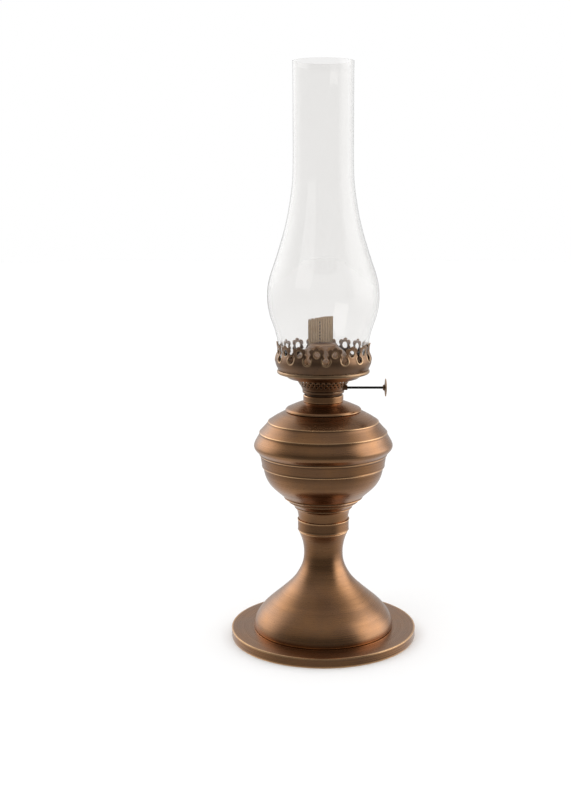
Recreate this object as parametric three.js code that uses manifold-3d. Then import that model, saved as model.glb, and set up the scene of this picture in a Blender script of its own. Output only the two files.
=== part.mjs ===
// A table oil lamp. A weighted foot and a spun pedestal carry the font, a flat-wick burner
// screws into the collar of the font, and a glass chimney stands in the burner's gallery.
// Millimetres, +Z up, with the origin on the table under the middle of the foot. The wick
// is flat in the XZ plane, and the winder's knob is on the +X side.

import * as THREE from "three";
import { mergeVertices } from "three/addons/utils/BufferGeometryUtils.js";
import Module from "manifold-3d";

const wasm = await Module();
wasm.setup();

// ------------------------------------------------------------------ driving dimensions

// Clearances
const GAP = 0.3; // between pieces that rest on each other or are soldered together
const RUNNING_GAP = 0.3; // round a shaft that turns
const THREAD_GAP = 0.4; // between the crests of the burner's thread and the collar's bore
const WICK_GAP = 0.3; // between the wick and what guides or drives it

// Making
const CUT_PAST = 1; // how far a cutting shape reaches past what it cuts

// Facets round a turned piece
const SPUN_SIDES = 28;
const FITTING_SIDES = 20;
const ROD_SIDES = 12;
const HOLE_SIDES = 10;

// Foot
const FOOT_DIAMETER = 158.75;
const FOOT_HEIGHT = 8.5;
const FOOT_SHEET = 1.4;
const FOOT_EDGE = 0.5; // chamfer along the foot's top edge
const FELT_THICKNESS = 1.2;
const FELT_PROUD = 0.4; // how far the felt stands below the foot's rim

// Pedestal
const BELL_RADIUS = 60;
const BELL_HEIGHT = 84.7;
const WAIST_RADIUS = 16.6;
const BELL_SHEET = 1.2;
const CUP_HEIGHT = 10.1;
const CUP_SHEET = 0.9;
const CUP_FLOOR = 1.2;
const CUP_ROOM = 2.0; // open ring between the font's foot and the cup
const CUP_FLARE = 0.5; // how much wider the cup is at its rim
const CUP_OVERHANG = 1.0; // how far the cup stands out over the pedestal's mouth

// Tie rod that clamps the foot, pedestal and font together
const ROD_RADIUS = 3;
const ROD_ENGAGEMENT = 7.5; // length inside the font's boss
const NUT_RADIUS = 5.8;
const NUT_HEIGHT = 3;
const WASHER_RADIUS = 9;
const WASHER_THICKNESS = 0.8;
const BOSS_RADIUS = 7;
const BOSS_HEIGHT = 10;

// Font
const FONT_SHEET = 0.9;
const FONT_FOOT_RADIUS = 19.4;
const BOWL_RADIUS = 50.8;
const BOWL_HEIGHT = 54.5; // from the font's foot up to the soldered seam
const SEAM_LAP = 7; // how far the bowl's rim runs up inside the upper shell
const SEAM_STEP = 0.2; // extra room inside the lap
const BULGE_OUT = 6.6; // how far the bulge stands out beyond the seam
const SHELL_HEIGHT = 48.2; // from the seam up to the mouth under the cap
const CAP_RADIUS = 32.4;
const CAP_LAP = 2.2; // how far the cap covers the shell's mouth
const CAP_HEIGHT = 9.3;
const CAP_SINK = 0.1; // how far the cap's rim drops round the mouth
const CAP_SHEET = 0.7;
const COLLAR_HEAD = 2.6; // height of the collar above the cap
const COLLAR_SHANK = 4.5; // height of the collar inside the cap
const COLLAR_SHEET = 0.5;
const COLLAR_LIP = 0.7; // how far the collar's head overhangs its shank

// Wick and the tube that guides it
const WICK_WIDTH = 20.8;
const WICK_THICKNESS = 2;
const WICK_PLAY = 2.3; // the wick lies this far to one side of its tube
const WICK_SHOWN = 18.9; // height of the wick above the deflector, at its middle
const WICK_SLANT = 4; // the wick's top edge is cut higher on the right
const WICK_CLEAR = 20.7; // from the wick's lower end down to the boss
const TUBE_SHEET = 0.4;
const TUBE_TOP = 4.6; // how far the tube's mouth lies below the top of the deflector
const TUBE_BELOW = 1.5; // how far the tube reaches below the screw ring's thread
const TUBE_MOUTH = 0.5; // room in front of and behind the wick

// Burner
const SCREW_LENGTH = 6.5;
const SCREW_SHEET = 0.6;
const THREAD_PITCH = 1.8;
const THREAD_DEPTH = 0.3;
const THREAD_RINGS = 3;
const FLOOR_THICKNESS = 0.7;
const FLOOR_BRIDGE = 0.7; // metal left in the burner's floor beside the tube
const BAND_GAP = 1.6; // open ring between the collar and the burner's band
const BAND_HEIGHT = 3.7;
const BAND_OVERHANG = 2.3; // how far the band stands out from the thread
const BAND_SHEET = 1.2;
const BAND_FLOOR = 0.8; // web between the thread and the band
const BAND_ROUND = 0.5;
const FLOOR_SINK = 1; // of the burner's floor below the collar's top
const BASKET_HEIGHT = 9.6;
const BASKET_FLARE = 5; // how much wider the basket is at its top
const BASKET_SHEET = 0.7;
const BASKET_HOLES = 16; // in each row
const BASKET_ROWS = 2;
const BASKET_HOLE_RADIUS = 1.2;
const BASKET_HOLE_START = 2.9; // of the lowest row's middle above the basket's bottom
const BASKET_ROW_PITCH = 3.4;
const VENT_RADIUS = 1.6;
const VENT_BORE = 1.1;
const VENT_OFFSET = 7; // behind the wick
const VENT_TOP = 4; // how far the vent stands above the air plate
const AIR_PLATE_THICKNESS = 0.7;
const AIR_PLATE_LAP = 1.5; // how far the air plate reaches out beyond the basket
const AIR_HOLES = 16;
const AIR_HOLE_RADIUS = 0.8;
const AIR_HOLE_INSET = 1.6; // of the holes' ring from the edge of the dish

// Gallery
const SEAT_WIDTH = 3; // flat ledge that the glass stands on
const SEAT_HEIGHT = 3.3; // of the ledge above the middle of the dish
const GALLERY_SHEET = 0.8;
const DISH_MOUTH_ROOM = 5; // from the wick tube's side out to the edge of the dish's mouth
const DISH_FLAT = 0.9; // flat left round the deflector's foot
const BEAD_RADIUS = 1.7; // of the rounded rim of the dish
const BEAD_INSET = 0.7; // of the bead's middle from the crown's outside
const BEAD_SINK = 0.3; // how far the bead hangs below the ledge
const BEAD_START = -110; // angle at which the bead begins, under the ledge, in degrees
const BEAD_SWEEP = 200;
const BEAD_STEPS = 5;
const CROWN_ROOM = 0.4; // between the glass and the crown's foot
const CROWN_SHEET = 0.7;
const CROWN_HEIGHT = 22.6;
const CROWN_BULGE = 2.7; // how far the crown swells beyond its foot
const FLOWERS = 16;
const FLOWER_TURN = 14.5; // angle of one flower from the front, towards +X, in degrees
const FLOWER_RADIUS = 6;
const FLOWER_LOBES = 6;
const FLOWER_LOBE_DEPTH = 0.7;
const FLOWER_HOLE_RADIUS = 2.8;
const FLOWER_SHOULDER = 4.2; // half the width of the stem where it meets the flower
const FLOWER_DROP = 6.1; // of a flower's middle below the crown's top
const KEYHOLE_RADIUS = 2.9;
const KEYHOLE_DROP = 11.4; // of a keyhole's round end below the crown's top
const KEYHOLE_NECK = 2.4; // width of the slot above the round end

// Flame deflector
const DEFLECTOR_LEDGE = 3.9; // from the air plate's edge out to the deflector's
const DEFLECTOR_HEIGHT = 29.6;
const DEFLECTOR_SHEET = 0.6;
const SLOT_ROOM = 0.35; // beyond each end of the wick tube
const SLOT_WIDTH = 7;
const SLOT_DEPTH = 9; // how far down the dome's sides the slot runs

// Winder
const SHAFT_RADIUS = 1;
const SHAFT_REACH = 52.2; // of the shaft's end from the lamp's axis
const SHAFT_RISE = 2.7; // of the shaft above the burner's band
const WHEEL_RADIUS = 5.4;
const WHEEL_THICKNESS = 0.8;
const WHEEL_TEETH = 10;
const TOOTH_DEPTH = 1.3;
const TOOTH_LEAN = 0.7; // of half the teeth's pitch, so that they lean one way
const WHEELS = 4;
const WHEEL_SPACING = 4; // along the shaft
const LUG_THICKNESS = 0.8;
const LUG_INSET = 2.2; // of each lug's middle from the side of the wick tube
const LUG_HALF_HEIGHT = 3;
const LUG_RIM = 1.1; // metal round the shaft
const BUSHING_SHEET = 0.8;
const BUSHING_LENGTH = 5;
const SHAFT_END = 1.5; // of the shaft beyond the left-hand lug
const KNOB_RADIUS = 7.4;
const KNOB_THICKNESS = 1.7;
const KNOB_HUB_RADIUS = 2.2;
const KNOB_HUB_LENGTH = 1.6;
const KNOB_SKIN = 0.5; // metal over the end of the shaft
const KNOB_CHAMFER = 0.5;

// Chimney
const GLASS = 2;
const AIR_ROOM = 6.5; // between the deflector's foot and the inside of the glass
const GLASS_LEAN = 1.6; // how far the glass leans out from its foot up to the crown's top
const CHIMNEY_HEIGHT = 252.6;
const CHIMNEY_BULGE_RADIUS = 46.7;
const CHIMNEY_TUBE_RADIUS = 24.9;

// ---------------------------------------------------------------------- worked-out sizes

const footRadius = FOOT_DIAMETER / 2;
const footUnderside = FOOT_HEIGHT - FOOT_SHEET;
const bellBottom = FOOT_HEIGHT + GAP;
const bellTop = bellBottom + BELL_HEIGHT;
const rodHole = ROD_RADIUS + GAP;

const cupRadius = FONT_FOOT_RADIUS + CUP_ROOM + CUP_SHEET;
const mouthRadius = cupRadius - CUP_OVERHANG;
const cupBottom = bellTop + GAP;
const cupRim = cupBottom + CUP_HEIGHT;

const fontBottom = cupBottom + CUP_FLOOR + GAP;
const fontFloor = fontBottom + FONT_SHEET;
const bossBottom = fontFloor + GAP;
const rodTop = bossBottom + ROD_ENGAGEMENT;
const seamHeight = fontBottom + BOWL_HEIGHT;
const seamRadius = BOWL_RADIUS + GAP + SEAM_STEP + FONT_SHEET;
const bulgeRadius = seamRadius + BULGE_OUT;
const shellTop = seamHeight + SHELL_HEIGHT;
const shellMouth = CAP_RADIUS - CAP_LAP;
const capBottom = shellTop - CAP_SINK;

const tubeInnerHalfWidth = WICK_WIDTH / 2 + WICK_PLAY + WICK_GAP;
const tubeInnerHalfDepth = WICK_THICKNESS / 2 + TUBE_MOUTH;
const tubeHalfWidth = tubeInnerHalfWidth + TUBE_SHEET;
const tubeHalfDepth = tubeInnerHalfDepth + TUBE_SHEET;

const floorRadius = tubeHalfWidth + GAP + FLOOR_BRIDGE;
const screwBore = floorRadius + GAP;
const screwRadius = screwBore + SCREW_SHEET;
const collarBore = screwRadius + THREAD_GAP;
const collarShank = collarBore + COLLAR_SHEET;
const collarRadius = collarShank + COLLAR_LIP;
const capNeck = collarShank + GAP + CAP_SHEET;
const capTop = capBottom + CAP_HEIGHT;
const collarTop = capTop + GAP + COLLAR_HEAD;

const bandBottom = collarTop + BAND_GAP;
const bandTop = bandBottom + BAND_HEIGHT;
const bandRadius = screwRadius + BAND_OVERHANG;
const screwBottom = collarTop - SCREW_LENGTH;
const floorBottom = collarTop - FLOOR_SINK;
const basketBottom = bandTop + GAP;
const basketTop = basketBottom + BASKET_HEIGHT;
const basketRadius = bandRadius + BASKET_FLARE;
const dishBottom = basketTop + GAP;
const dishFloor = dishBottom + GALLERY_SHEET;
const dishMouth = tubeHalfWidth + DISH_MOUTH_ROOM;
const airPlateBottom = dishFloor + GAP;
const airPlateRadius = basketRadius + AIR_PLATE_LAP;
const airPlateTop = airPlateBottom + AIR_PLATE_THICKNESS;

const deflectorRadius = airPlateRadius + DEFLECTOR_LEDGE;
const deflectorTop = airPlateBottom + DEFLECTOR_HEIGHT;
const fitterRadius = deflectorRadius + AIR_ROOM + GLASS;
const seatTop = dishFloor + SEAT_HEIGHT;
const seatInner = fitterRadius - SEAT_WIDTH;
const crownInner = fitterRadius + GAP + CROWN_ROOM;
const crownFoot = crownInner + CROWN_SHEET;
const beadMiddle = crownFoot - BEAD_INSET;
const beadHeight = seatTop + BEAD_RADIUS - BEAD_SINK;
const crownBottom = beadHeight + BEAD_RADIUS + GAP;
const crownTop = crownBottom + CROWN_HEIGHT;
const chimneyBottom = seatTop + GAP;

const tubeBottom = screwBottom - TUBE_BELOW;
const tubeTop = deflectorTop - TUBE_TOP;
const shaftHeight = bandTop + SHAFT_RISE;
const shaftFront = -(WICK_THICKNESS / 2 + WICK_GAP + WHEEL_RADIUS);
const shaftHole = SHAFT_RADIUS + RUNNING_GAP;
const bushingRadius = shaftHole + BUSHING_SHEET;
const lugPlace = tubeHalfWidth - LUG_INSET;
const wickTop = deflectorTop + WICK_SHOWN;
const wickBottom = bossBottom + BOSS_HEIGHT + WICK_CLEAR;

// ------------------------------------------------------------------------------- helpers

const at = (radius, height) => new THREE.Vector2(radius, height);
const between = (low, high, share) => low + (high - low) * share;

// A smooth run through a few points, given as [radius, height].
function smooth(points, steps) {
  return new THREE.SplineCurve(points.map(([radius, height]) => at(radius, height))).getPoints(
    steps,
  );
}

// The same run moved inwards by a wall, square to itself at every point. It stays between
// the lowest and the highest point of the run, so that both edges are cut level.
function inset(outline, wall) {
  const heights = outline.map((point) => point.y);
  const lowest = Math.min(...heights);
  const highest = Math.max(...heights);
  return outline.map((here, index) => {
    const before = outline[Math.max(index - 1, 0)];
    const after = outline[Math.min(index + 1, outline.length - 1)];
    const along = after.clone().sub(before).normalize();
    const height = THREE.MathUtils.clamp(here.y + along.x * wall, lowest, highest);
    return at(here.x - along.y * wall, height);
  });
}

// A profile turned about Z. One that stays off the axis is closed on itself.
function turned(profile, sides = FITTING_SIDES) {
  const points = THREE.ShapeUtils.area(profile) < 0 ? profile.slice().reverse() : profile.slice();
  const onAxis = Math.abs(points[0].x) < 1e-6 && Math.abs(points.at(-1).x) < 1e-6;
  if (!onAxis) points.push(points[0].clone());
  return new THREE.LatheGeometry(points, sides).rotateX(Math.PI / 2);
}

// Every other point of an outline and both its ends: enough for a hidden inside.
function thinned(outline) {
  return outline.filter((_, index) => index % 2 === 0 || index === outline.length - 1);
}

// A spun shell: an outline from its bottom edge to its top edge, with a wall.
function spun(outline, wall, sides = SPUN_SIDES) {
  return turned([...outline, ...thinned(inset(outline, wall)).reverse()], sides);
}

// A plain tube or, with a bore of 0, a plain disc.
function tube(radius, bore, bottom, top, sides = FITTING_SIDES) {
  return turned([at(bore, bottom), at(radius, bottom), at(radius, top), at(bore, top)], sides);
}

// An outline in the XZ plane, pushed from one depth to another along Y.
function slab(shape, front, back) {
  const depth = back - front;
  const geometry = new THREE.ExtrudeGeometry(shape, { depth, bevelEnabled: false });
  return geometry.rotateX(Math.PI / 2).translate(0, back, 0);
}

// An outline in the YZ plane, pushed from one place to another along X.
function cheek(shape, from, to) {
  const geometry = new THREE.ExtrudeGeometry(shape, { depth: to - from, bevelEnabled: false });
  return geometry.rotateX(Math.PI / 2).rotateZ(Math.PI / 2).translate(from, 0, 0);
}

// An outline in the XY plane, pushed up from one height to another.
function plate(shape, bottom, top) {
  const geometry = new THREE.ExtrudeGeometry(shape, { depth: top - bottom, bevelEnabled: false });
  return geometry.translate(0, 0, bottom);
}

function polygon(corners) {
  return new THREE.Shape(corners.map(([x, y]) => new THREE.Vector2(x, y)));
}

function rectangle(halfWidth, halfHeight, x = 0, y = 0) {
  return polygon([
    [x - halfWidth, y - halfHeight],
    [x + halfWidth, y - halfHeight],
    [x + halfWidth, y + halfHeight],
    [x - halfWidth, y + halfHeight],
  ]);
}

// A closed outline whose radius is given for each angle.
function rosette(radiusAt, steps, x = 0, y = 0) {
  const corners = Array.from({ length: steps }, (_, step) => {
    const angle = (2 * Math.PI * step) / steps;
    const radius = radiusAt(angle);
    return [x + radius * Math.cos(angle), y + radius * Math.sin(angle)];
  });
  return polygon(corners);
}

const disc = (radius, steps, x = 0, y = 0) => rosette(() => radius, steps, x, y);

// A hexagon with a round hole right through.
function hexagon(radius, bore, bottom, top) {
  const shape = disc(radius, 6);
  shape.holes.push(disc(bore, ROD_SIDES));
  return plate(shape, bottom, top);
}

// A geometry as a solid that can be cut and joined.
function solid(geometry) {
  const bare = new THREE.BufferGeometry().setAttribute("position", geometry.getAttribute("position"));
  if (geometry.index) bare.setIndex(geometry.index);
  const merged = mergeVertices(bare, 1e-4);
  const corners = merged.index.array;
  const triVerts = [];
  for (let start = 0; start < corners.length; start += 3) {
    const [a, b, c] = corners.slice(start, start + 3);
    if (a !== b && b !== c && c !== a) triVerts.push(a, b, c);
  }
  return new wasm.Manifold(
    new wasm.Mesh({
      numProp: 3,
      vertProperties: merged.getAttribute("position").array,
      triVerts: new Uint32Array(triVerts),
    }),
  );
}

// And a cut solid back as a geometry.
function geometryOf(body) {
  const mesh = body.getMesh();
  const geometry = new THREE.BufferGeometry();
  geometry.setAttribute("position", new THREE.BufferAttribute(mesh.vertProperties, 3));
  geometry.setIndex(new THREE.BufferAttribute(mesh.triVerts, 1));
  geometry.computeVertexNormals();
  return geometry;
}

const joined = (bodies) => bodies.reduce((all, body) => all.add(body));
const cut = (geometry, ...tools) => geometryOf(solid(geometry).subtract(joined(tools)));

// A solid and its copies, spaced evenly about Z.
function spread(body, count, startDegrees = 0) {
  return joined(
    Array.from({ length: count }, (_, index) =>
      body.rotate([0, 0, startDegrees + (360 * index) / count]),
    ),
  );
}

// ----------------------------------------------------------------------------- materials

const metal = (color, roughness = 0.35) =>
  new THREE.MeshStandardMaterial({ color, roughness, metalness: 1 });

const bronze = metal(0x8a5f3c);
const bronzeDark = metal(0x5a3f28, 0.45);
const blackSteel = metal(0x1b1917, 0.5);
const plainSteel = metal(0x8d8d8a, 0.4);
const castIron = metal(0x34322f, 0.8);
const felt = new THREE.MeshStandardMaterial({ color: 0x2c2a28, roughness: 1, metalness: 0 });
const cotton = new THREE.MeshStandardMaterial({ color: 0x9c8468, roughness: 1, metalness: 0 });
const glass = new THREE.MeshStandardMaterial({
  color: 0xf3f5f5,
  roughness: 0.03,
  metalness: 0,
  transparent: true,
  opacity: 0.25,
});

const lamp = new THREE.Group();

function add(name, geometry, material) {
  const mesh = new THREE.Mesh(geometry, material.clone());
  mesh.name = name;
  lamp.add(mesh);
  return mesh;
}

// ---------------------------------------------------------------------------------- foot

const skirtBore = footRadius - FOOT_SHEET;

// The foot plate is one sheet with its edge turned down.
const footProfile = [
  at(skirtBore, FELT_PROUD),
  at(footRadius, FELT_PROUD),
  at(footRadius, FOOT_HEIGHT - FOOT_EDGE),
  at(footRadius - FOOT_EDGE, FOOT_HEIGHT),
  at(rodHole, FOOT_HEIGHT),
  at(rodHole, footUnderside),
  at(skirtBore, footUnderside),
];
add("foot_plate", turned(footProfile, SPUN_SIDES), bronze);

add("felt_pad", tube(skirtBore - GAP, 0, 0, FELT_THICKNESS, SPUN_SIDES), felt);

// The ballast has a pocket below for the washer and the nut of the tie rod.
const ballastBottom = FELT_THICKNESS + GAP;
const ballastTop = footUnderside - GAP;
const washerBottom = ballastBottom + NUT_HEIGHT + GAP;
const pocketTop = washerBottom + WASHER_THICKNESS + GAP;
const pocketRadius = WASHER_RADIUS + GAP;
const ballastRadius = skirtBore - GAP;
const ballastProfile = [
  at(pocketRadius, ballastBottom),
  at(ballastRadius, ballastBottom),
  at(ballastRadius, ballastTop),
  at(rodHole, ballastTop),
  at(rodHole, pocketTop),
  at(pocketRadius, pocketTop),
];
add("ballast_weight", turned(ballastProfile, SPUN_SIDES), castIron);

add("tie_rod", tube(ROD_RADIUS, 0, ballastBottom, rodTop, ROD_SIDES), plainSteel);
add(
  "tie_rod_washer",
  tube(WASHER_RADIUS, rodHole, washerBottom, washerBottom + WASHER_THICKNESS, ROD_SIDES),
  plainSteel,
);
add("tie_rod_nut", hexagon(NUT_RADIUS, rodHole, ballastBottom, ballastBottom + NUT_HEIGHT), plainSteel);

// ------------------------------------------------------------------------------ pedestal

// The bell: [share from the waist's radius to the bell's, share of the height] down low,
// then from the waist's radius to that of the mouth.
const bellFlank = [
  [0.965, 0],
  [1, 0.034],
  [0.991, 0.073],
  [0.926, 0.132],
  [0.806, 0.209],
  [0.585, 0.309],
  [0.378, 0.404],
  [0.189, 0.51],
  [0.058, 0.616],
  [0.005, 0.722],
].map(([out, up]) => [between(WAIST_RADIUS, BELL_RADIUS, out), bellBottom + BELL_HEIGHT * up]);
const bellMouth = [
  [0.06, 0.82],
  [0.33, 0.9],
  [1, 1],
].map(([out, up]) => [between(WAIST_RADIUS, mouthRadius, out), bellBottom + BELL_HEIGHT * up]);
add("pedestal_bell", spun(smooth([...bellFlank, ...bellMouth], 14), BELL_SHEET), bronze);

const cupProfile = [
  at(rodHole, cupBottom),
  at(cupRadius - CUP_OVERHANG, cupBottom),
  at(cupRadius - CUP_FLARE, cupBottom + CUP_FLARE),
  at(cupRadius, cupRim),
  at(cupRadius - CUP_SHEET, cupRim),
  at(cupRadius - CUP_FLARE - CUP_SHEET, cupBottom + CUP_FLOOR + CUP_FLARE),
  at(cupRadius - CUP_FLARE - CUP_SHEET, cupBottom + CUP_FLOOR),
  at(rodHole, cupBottom + CUP_FLOOR),
];
add("pedestal_cup", turned(cupProfile, SPUN_SIDES), bronze);

// ---------------------------------------------------------------------------------- font

// The boss is a blind nut soldered to the font's floor.
add(
  "font_boss",
  cut(
    plate(disc(BOSS_RADIUS, 6), bossBottom, bossBottom + BOSS_HEIGHT),
    solid(tube(rodHole, 0, bossBottom - CUT_PAST, rodTop + GAP, ROD_SIDES)),
  ),
  bronzeDark,
);

// The lower bowl: [share from the foot's radius to the bowl's, share of the height]. The
// three places where the curve breaks are the rings spun into the bowl's underside.
const bowlOutline = [
  [0, 0.02],
  [0.016, 0.15],
  [0.07, 0.224],
  [0.156, 0.35],
  [0.255, 0.406],
  [0.33, 0.44],
  [0.408, 0.483],
  [0.46, 0.508],
  [0.57, 0.587],
  [0.729, 0.666],
  [0.879, 0.776],
  [0.971, 0.9],
  [1, 1],
].map(([out, up]) => [between(FONT_FOOT_RADIUS, BOWL_RADIUS, out), fontBottom + BOWL_HEIGHT * up]);
const bowlCurve = [...smooth(bowlOutline, 14), at(BOWL_RADIUS, seamHeight + SEAM_LAP)];
const bowlInside = thinned(inset(bowlCurve, FONT_SHEET)).map((point) =>
  at(point.x, Math.max(point.y, fontFloor)),
);
const bowlProfile = [
  at(rodHole, fontBottom),
  at(FONT_FOOT_RADIUS - FONT_SHEET, fontBottom),
  ...bowlCurve,
  ...bowlInside.reverse(),
  at(rodHole, fontFloor),
];
add("font_lower_bowl", turned(bowlProfile, SPUN_SIDES), bronze);

// The upper shell: from the seam out over the bulge, then in to the mouth under the cap.
const shellBulge = [
  [0, 0],
  [0.08, 0.087],
  [0.15, 0.178],
  [0.16, 0.212],
  [0.33, 0.245],
  [0.64, 0.29],
  [0.91, 0.34],
  [1, 0.384],
  [0.91, 0.432],
  [0.65, 0.494],
  [0.42, 0.56],
].map(([out, up]) => [between(seamRadius, bulgeRadius, out), seamHeight + SHELL_HEIGHT * up]);
const shellShoulder = [
  [0.836, 0.631],
  [0.738, 0.685],
  [0.654, 0.743],
  [0.587, 0.805],
  [0.434, 0.865],
  [0.273, 0.919],
  [0.112, 0.971],
  [0, 1],
].map(([out, up]) => [between(shellMouth, bulgeRadius, out), seamHeight + SHELL_HEIGHT * up]);
add("font_upper_shell", spun(smooth([...shellBulge, ...shellShoulder], 18), FONT_SHEET), bronze);

// The cap is a low dome soldered over the shell's mouth, and it carries the collar.
const capOutline = [
  [1, 0],
  [0.96, 0.1],
  [0.855, 0.18],
  [0.717, 0.32],
  [0.572, 0.46],
  [0.362, 0.62],
  [0.158, 0.77],
  [0.03, 0.89],
  [0, 1],
].map(([out, up]) => [between(capNeck, CAP_RADIUS, out), capBottom + CAP_HEIGHT * up]);
add("font_cap", spun(smooth(capOutline, 8), CAP_SHEET), bronze);

const collarProfile = [
  at(collarBore, capTop + GAP - COLLAR_SHANK),
  at(collarShank, capTop + GAP - COLLAR_SHANK),
  at(collarShank, capTop + GAP),
  at(collarRadius, capTop + GAP),
  at(collarRadius, collarTop),
  at(collarBore, collarTop),
];
add("font_collar", turned(collarProfile, SPUN_SIDES), bronze);

// ------------------------------------------------------------------- screw ring and tube

// The thread is drawn as separate rings, so that the ring fits at every turn.
const threadRings = Array.from({ length: THREAD_RINGS }, (_, ring) => {
  const height = screwBottom + THREAD_PITCH * (ring + 0.5);
  return [
    at(screwRadius - THREAD_DEPTH, height),
    at(screwRadius, height + THREAD_PITCH / 4),
    at(screwRadius, height + THREAD_PITCH / 2),
    at(screwRadius - THREAD_DEPTH, height + (THREAD_PITCH * 3) / 4),
  ];
}).flat();
const bandBore = bandRadius - BAND_SHEET;
const screwProfile = [
  at(screwBore, screwBottom),
  at(screwRadius - THREAD_DEPTH, screwBottom),
  ...threadRings,
  at(screwRadius - THREAD_DEPTH, bandBottom),
  at(bandRadius - BAND_ROUND, bandBottom),
  at(bandRadius, bandBottom + BAND_ROUND),
  at(bandRadius, bandTop - BAND_ROUND),
  at(bandRadius - BAND_ROUND, bandTop),
  at(bandBore, bandTop),
  at(bandBore, bandBottom + BAND_FLOOR),
  at(screwBore, bandBottom + BAND_FLOOR),
];
add("burner_screw_ring", turned(screwProfile, SPUN_SIDES), bronze);

// The hole that the wick tube and the vent need in a plate between two heights.
const tubePassages = (bottom, top) => {
  const shapes = [
    rectangle(tubeHalfWidth + GAP, tubeHalfDepth + GAP),
    disc(VENT_RADIUS + GAP, ROD_SIDES, 0, VENT_OFFSET),
  ];
  return joined(shapes.map((shape) => solid(plate(shape, bottom - CUT_PAST, top + CUT_PAST))));
};

add(
  "burner_floor",
  cut(
    tube(floorRadius, 0, floorBottom, floorBottom + FLOOR_THICKNESS),
    tubePassages(floorBottom, floorBottom + FLOOR_THICKNESS),
  ),
  bronzeDark,
);

// The wick tube has a window in front of each wheel, so that the teeth reach the wick.
const tubeShape = rectangle(tubeHalfWidth, tubeHalfDepth);
tubeShape.holes.push(rectangle(tubeInnerHalfWidth, tubeInnerHalfDepth));
const wheelPlaces = Array.from(
  { length: WHEELS },
  (_, wheel) => WHEEL_SPACING * (wheel - (WHEELS - 1) / 2) - WICK_PLAY / 2,
);
const windows = wheelPlaces.map((place) =>
  solid(
    slab(
      rectangle(WHEEL_THICKNESS / 2 + GAP, WHEEL_RADIUS + GAP, place, shaftHeight),
      -tubeHalfDepth - CUT_PAST,
      -WICK_THICKNESS / 2,
    ),
  ),
);
add("wick_tube", cut(plate(tubeShape, tubeBottom, tubeTop), ...windows), bronzeDark);

const ventShape = disc(VENT_RADIUS, ROD_SIDES, 0, VENT_OFFSET);
ventShape.holes.push(disc(VENT_BORE, ROD_SIDES, 0, VENT_OFFSET));
add("vent_tube", plate(ventShape, tubeBottom, airPlateTop + VENT_TOP), bronzeDark);

// --------------------------------------------------------------- basket and winder holes

// A round bar along X at the winder's place.
function winderBar(radius, from, to, sides = ROD_SIDES) {
  const bar = new THREE.CylinderGeometry(radius, radius, to - from, sides).rotateZ(Math.PI / 2);
  return bar.translate((from + to) / 2, shaftFront, shaftHeight);
}

const wallAtShaft = bandRadius + (BASKET_FLARE * (SHAFT_RISE - GAP)) / BASKET_HEIGHT;
const shaftExit = Math.sqrt(wallAtShaft ** 2 - shaftFront ** 2);

const basketOutline = smooth(
  [
    [0, 0],
    [0.18, 0.25],
    [0.55, 0.6],
    [1, 1],
  ].map(([out, up]) => [bandRadius + BASKET_FLARE * out, basketBottom + BASKET_HEIGHT * up]),
  3,
);
// Square holes stand on their corners in staggered rows round the basket.
const basketHoles = Array.from({ length: BASKET_ROWS }, (_, row) => {
  const height = basketBottom + BASKET_HOLE_START + BASKET_ROW_PITCH * row;
  const hole = solid(
    slab(disc(BASKET_HOLE_RADIUS, 4, 0, height), -basketRadius - CUT_PAST, -screwBore),
  );
  return spread(hole, BASKET_HOLES, (row % 2) * (180 / BASKET_HOLES));
});
const bushingHole = solid(
  winderBar(bushingRadius + GAP, shaftExit - BUSHING_LENGTH, shaftExit + BUSHING_LENGTH),
);
add(
  "burner_basket",
  cut(spun(basketOutline, BASKET_SHEET), ...basketHoles, bushingHole),
  bronzeDark,
);

// ----------------------------------------------------------------------- gallery and air

const airHole = solid(
  plate(
    disc(AIR_HOLE_RADIUS, 4, 0, dishMouth - AIR_HOLE_INSET),
    airPlateBottom - CUT_PAST,
    airPlateTop + CUT_PAST,
  ),
);
add(
  "air_plate",
  cut(
    tube(airPlateRadius, 0, airPlateBottom, airPlateTop, SPUN_SIDES),
    tubePassages(airPlateBottom, airPlateTop),
    spread(airHole, AIR_HOLES),
  ),
  bronzeDark,
);

// The dish: a flat middle, a slope, the ledge for the glass, and a round bead at the rim.
const bead = Array.from({ length: BEAD_STEPS + 1 }, (_, step) => {
  const angle = THREE.MathUtils.degToRad(BEAD_START + (BEAD_SWEEP * step) / BEAD_STEPS);
  return at(beadMiddle + BEAD_RADIUS * Math.cos(angle), beadHeight + BEAD_RADIUS * Math.sin(angle));
});
const dishSlope = deflectorRadius + DISH_FLAT;
const seatOuter = crownInner - GAP;
const dishProfile = [
  at(dishMouth, dishBottom),
  at(dishSlope + GALLERY_SHEET / 2, dishBottom),
  at(seatInner + GALLERY_SHEET / 2, seatTop - GALLERY_SHEET),
  at(beadMiddle - BEAD_RADIUS / 2, seatTop - GALLERY_SHEET),
  ...bead,
  at(seatOuter, beadHeight + BEAD_RADIUS),
  at(seatOuter, seatTop),
  at(seatInner, seatTop),
  at(dishSlope, dishFloor),
  at(dishMouth, dishFloor),
];
add("gallery_dish", turned(dishProfile, SPUN_SIDES), bronze);

// The crown is a band of sheet that swells, leans in at the flowers and flares at its top.
const crownOutline = smooth(
  [
    [0, 0],
    [0.15, 0.08],
    [0.65, 0.2],
    [1, 0.34],
    [0.85, 0.46],
    [0.38, 0.6],
    [0.25, 0.71],
    [0.38, 0.84],
    [0.75, 1],
  ].map(([out, up]) => [crownFoot + CROWN_BULGE * out, crownBottom + CROWN_HEIGHT * up]),
  7,
);
const flowerHeight = crownTop - FLOWER_DROP;
const keyholeHeight = crownTop - KEYHOLE_DROP;
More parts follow.
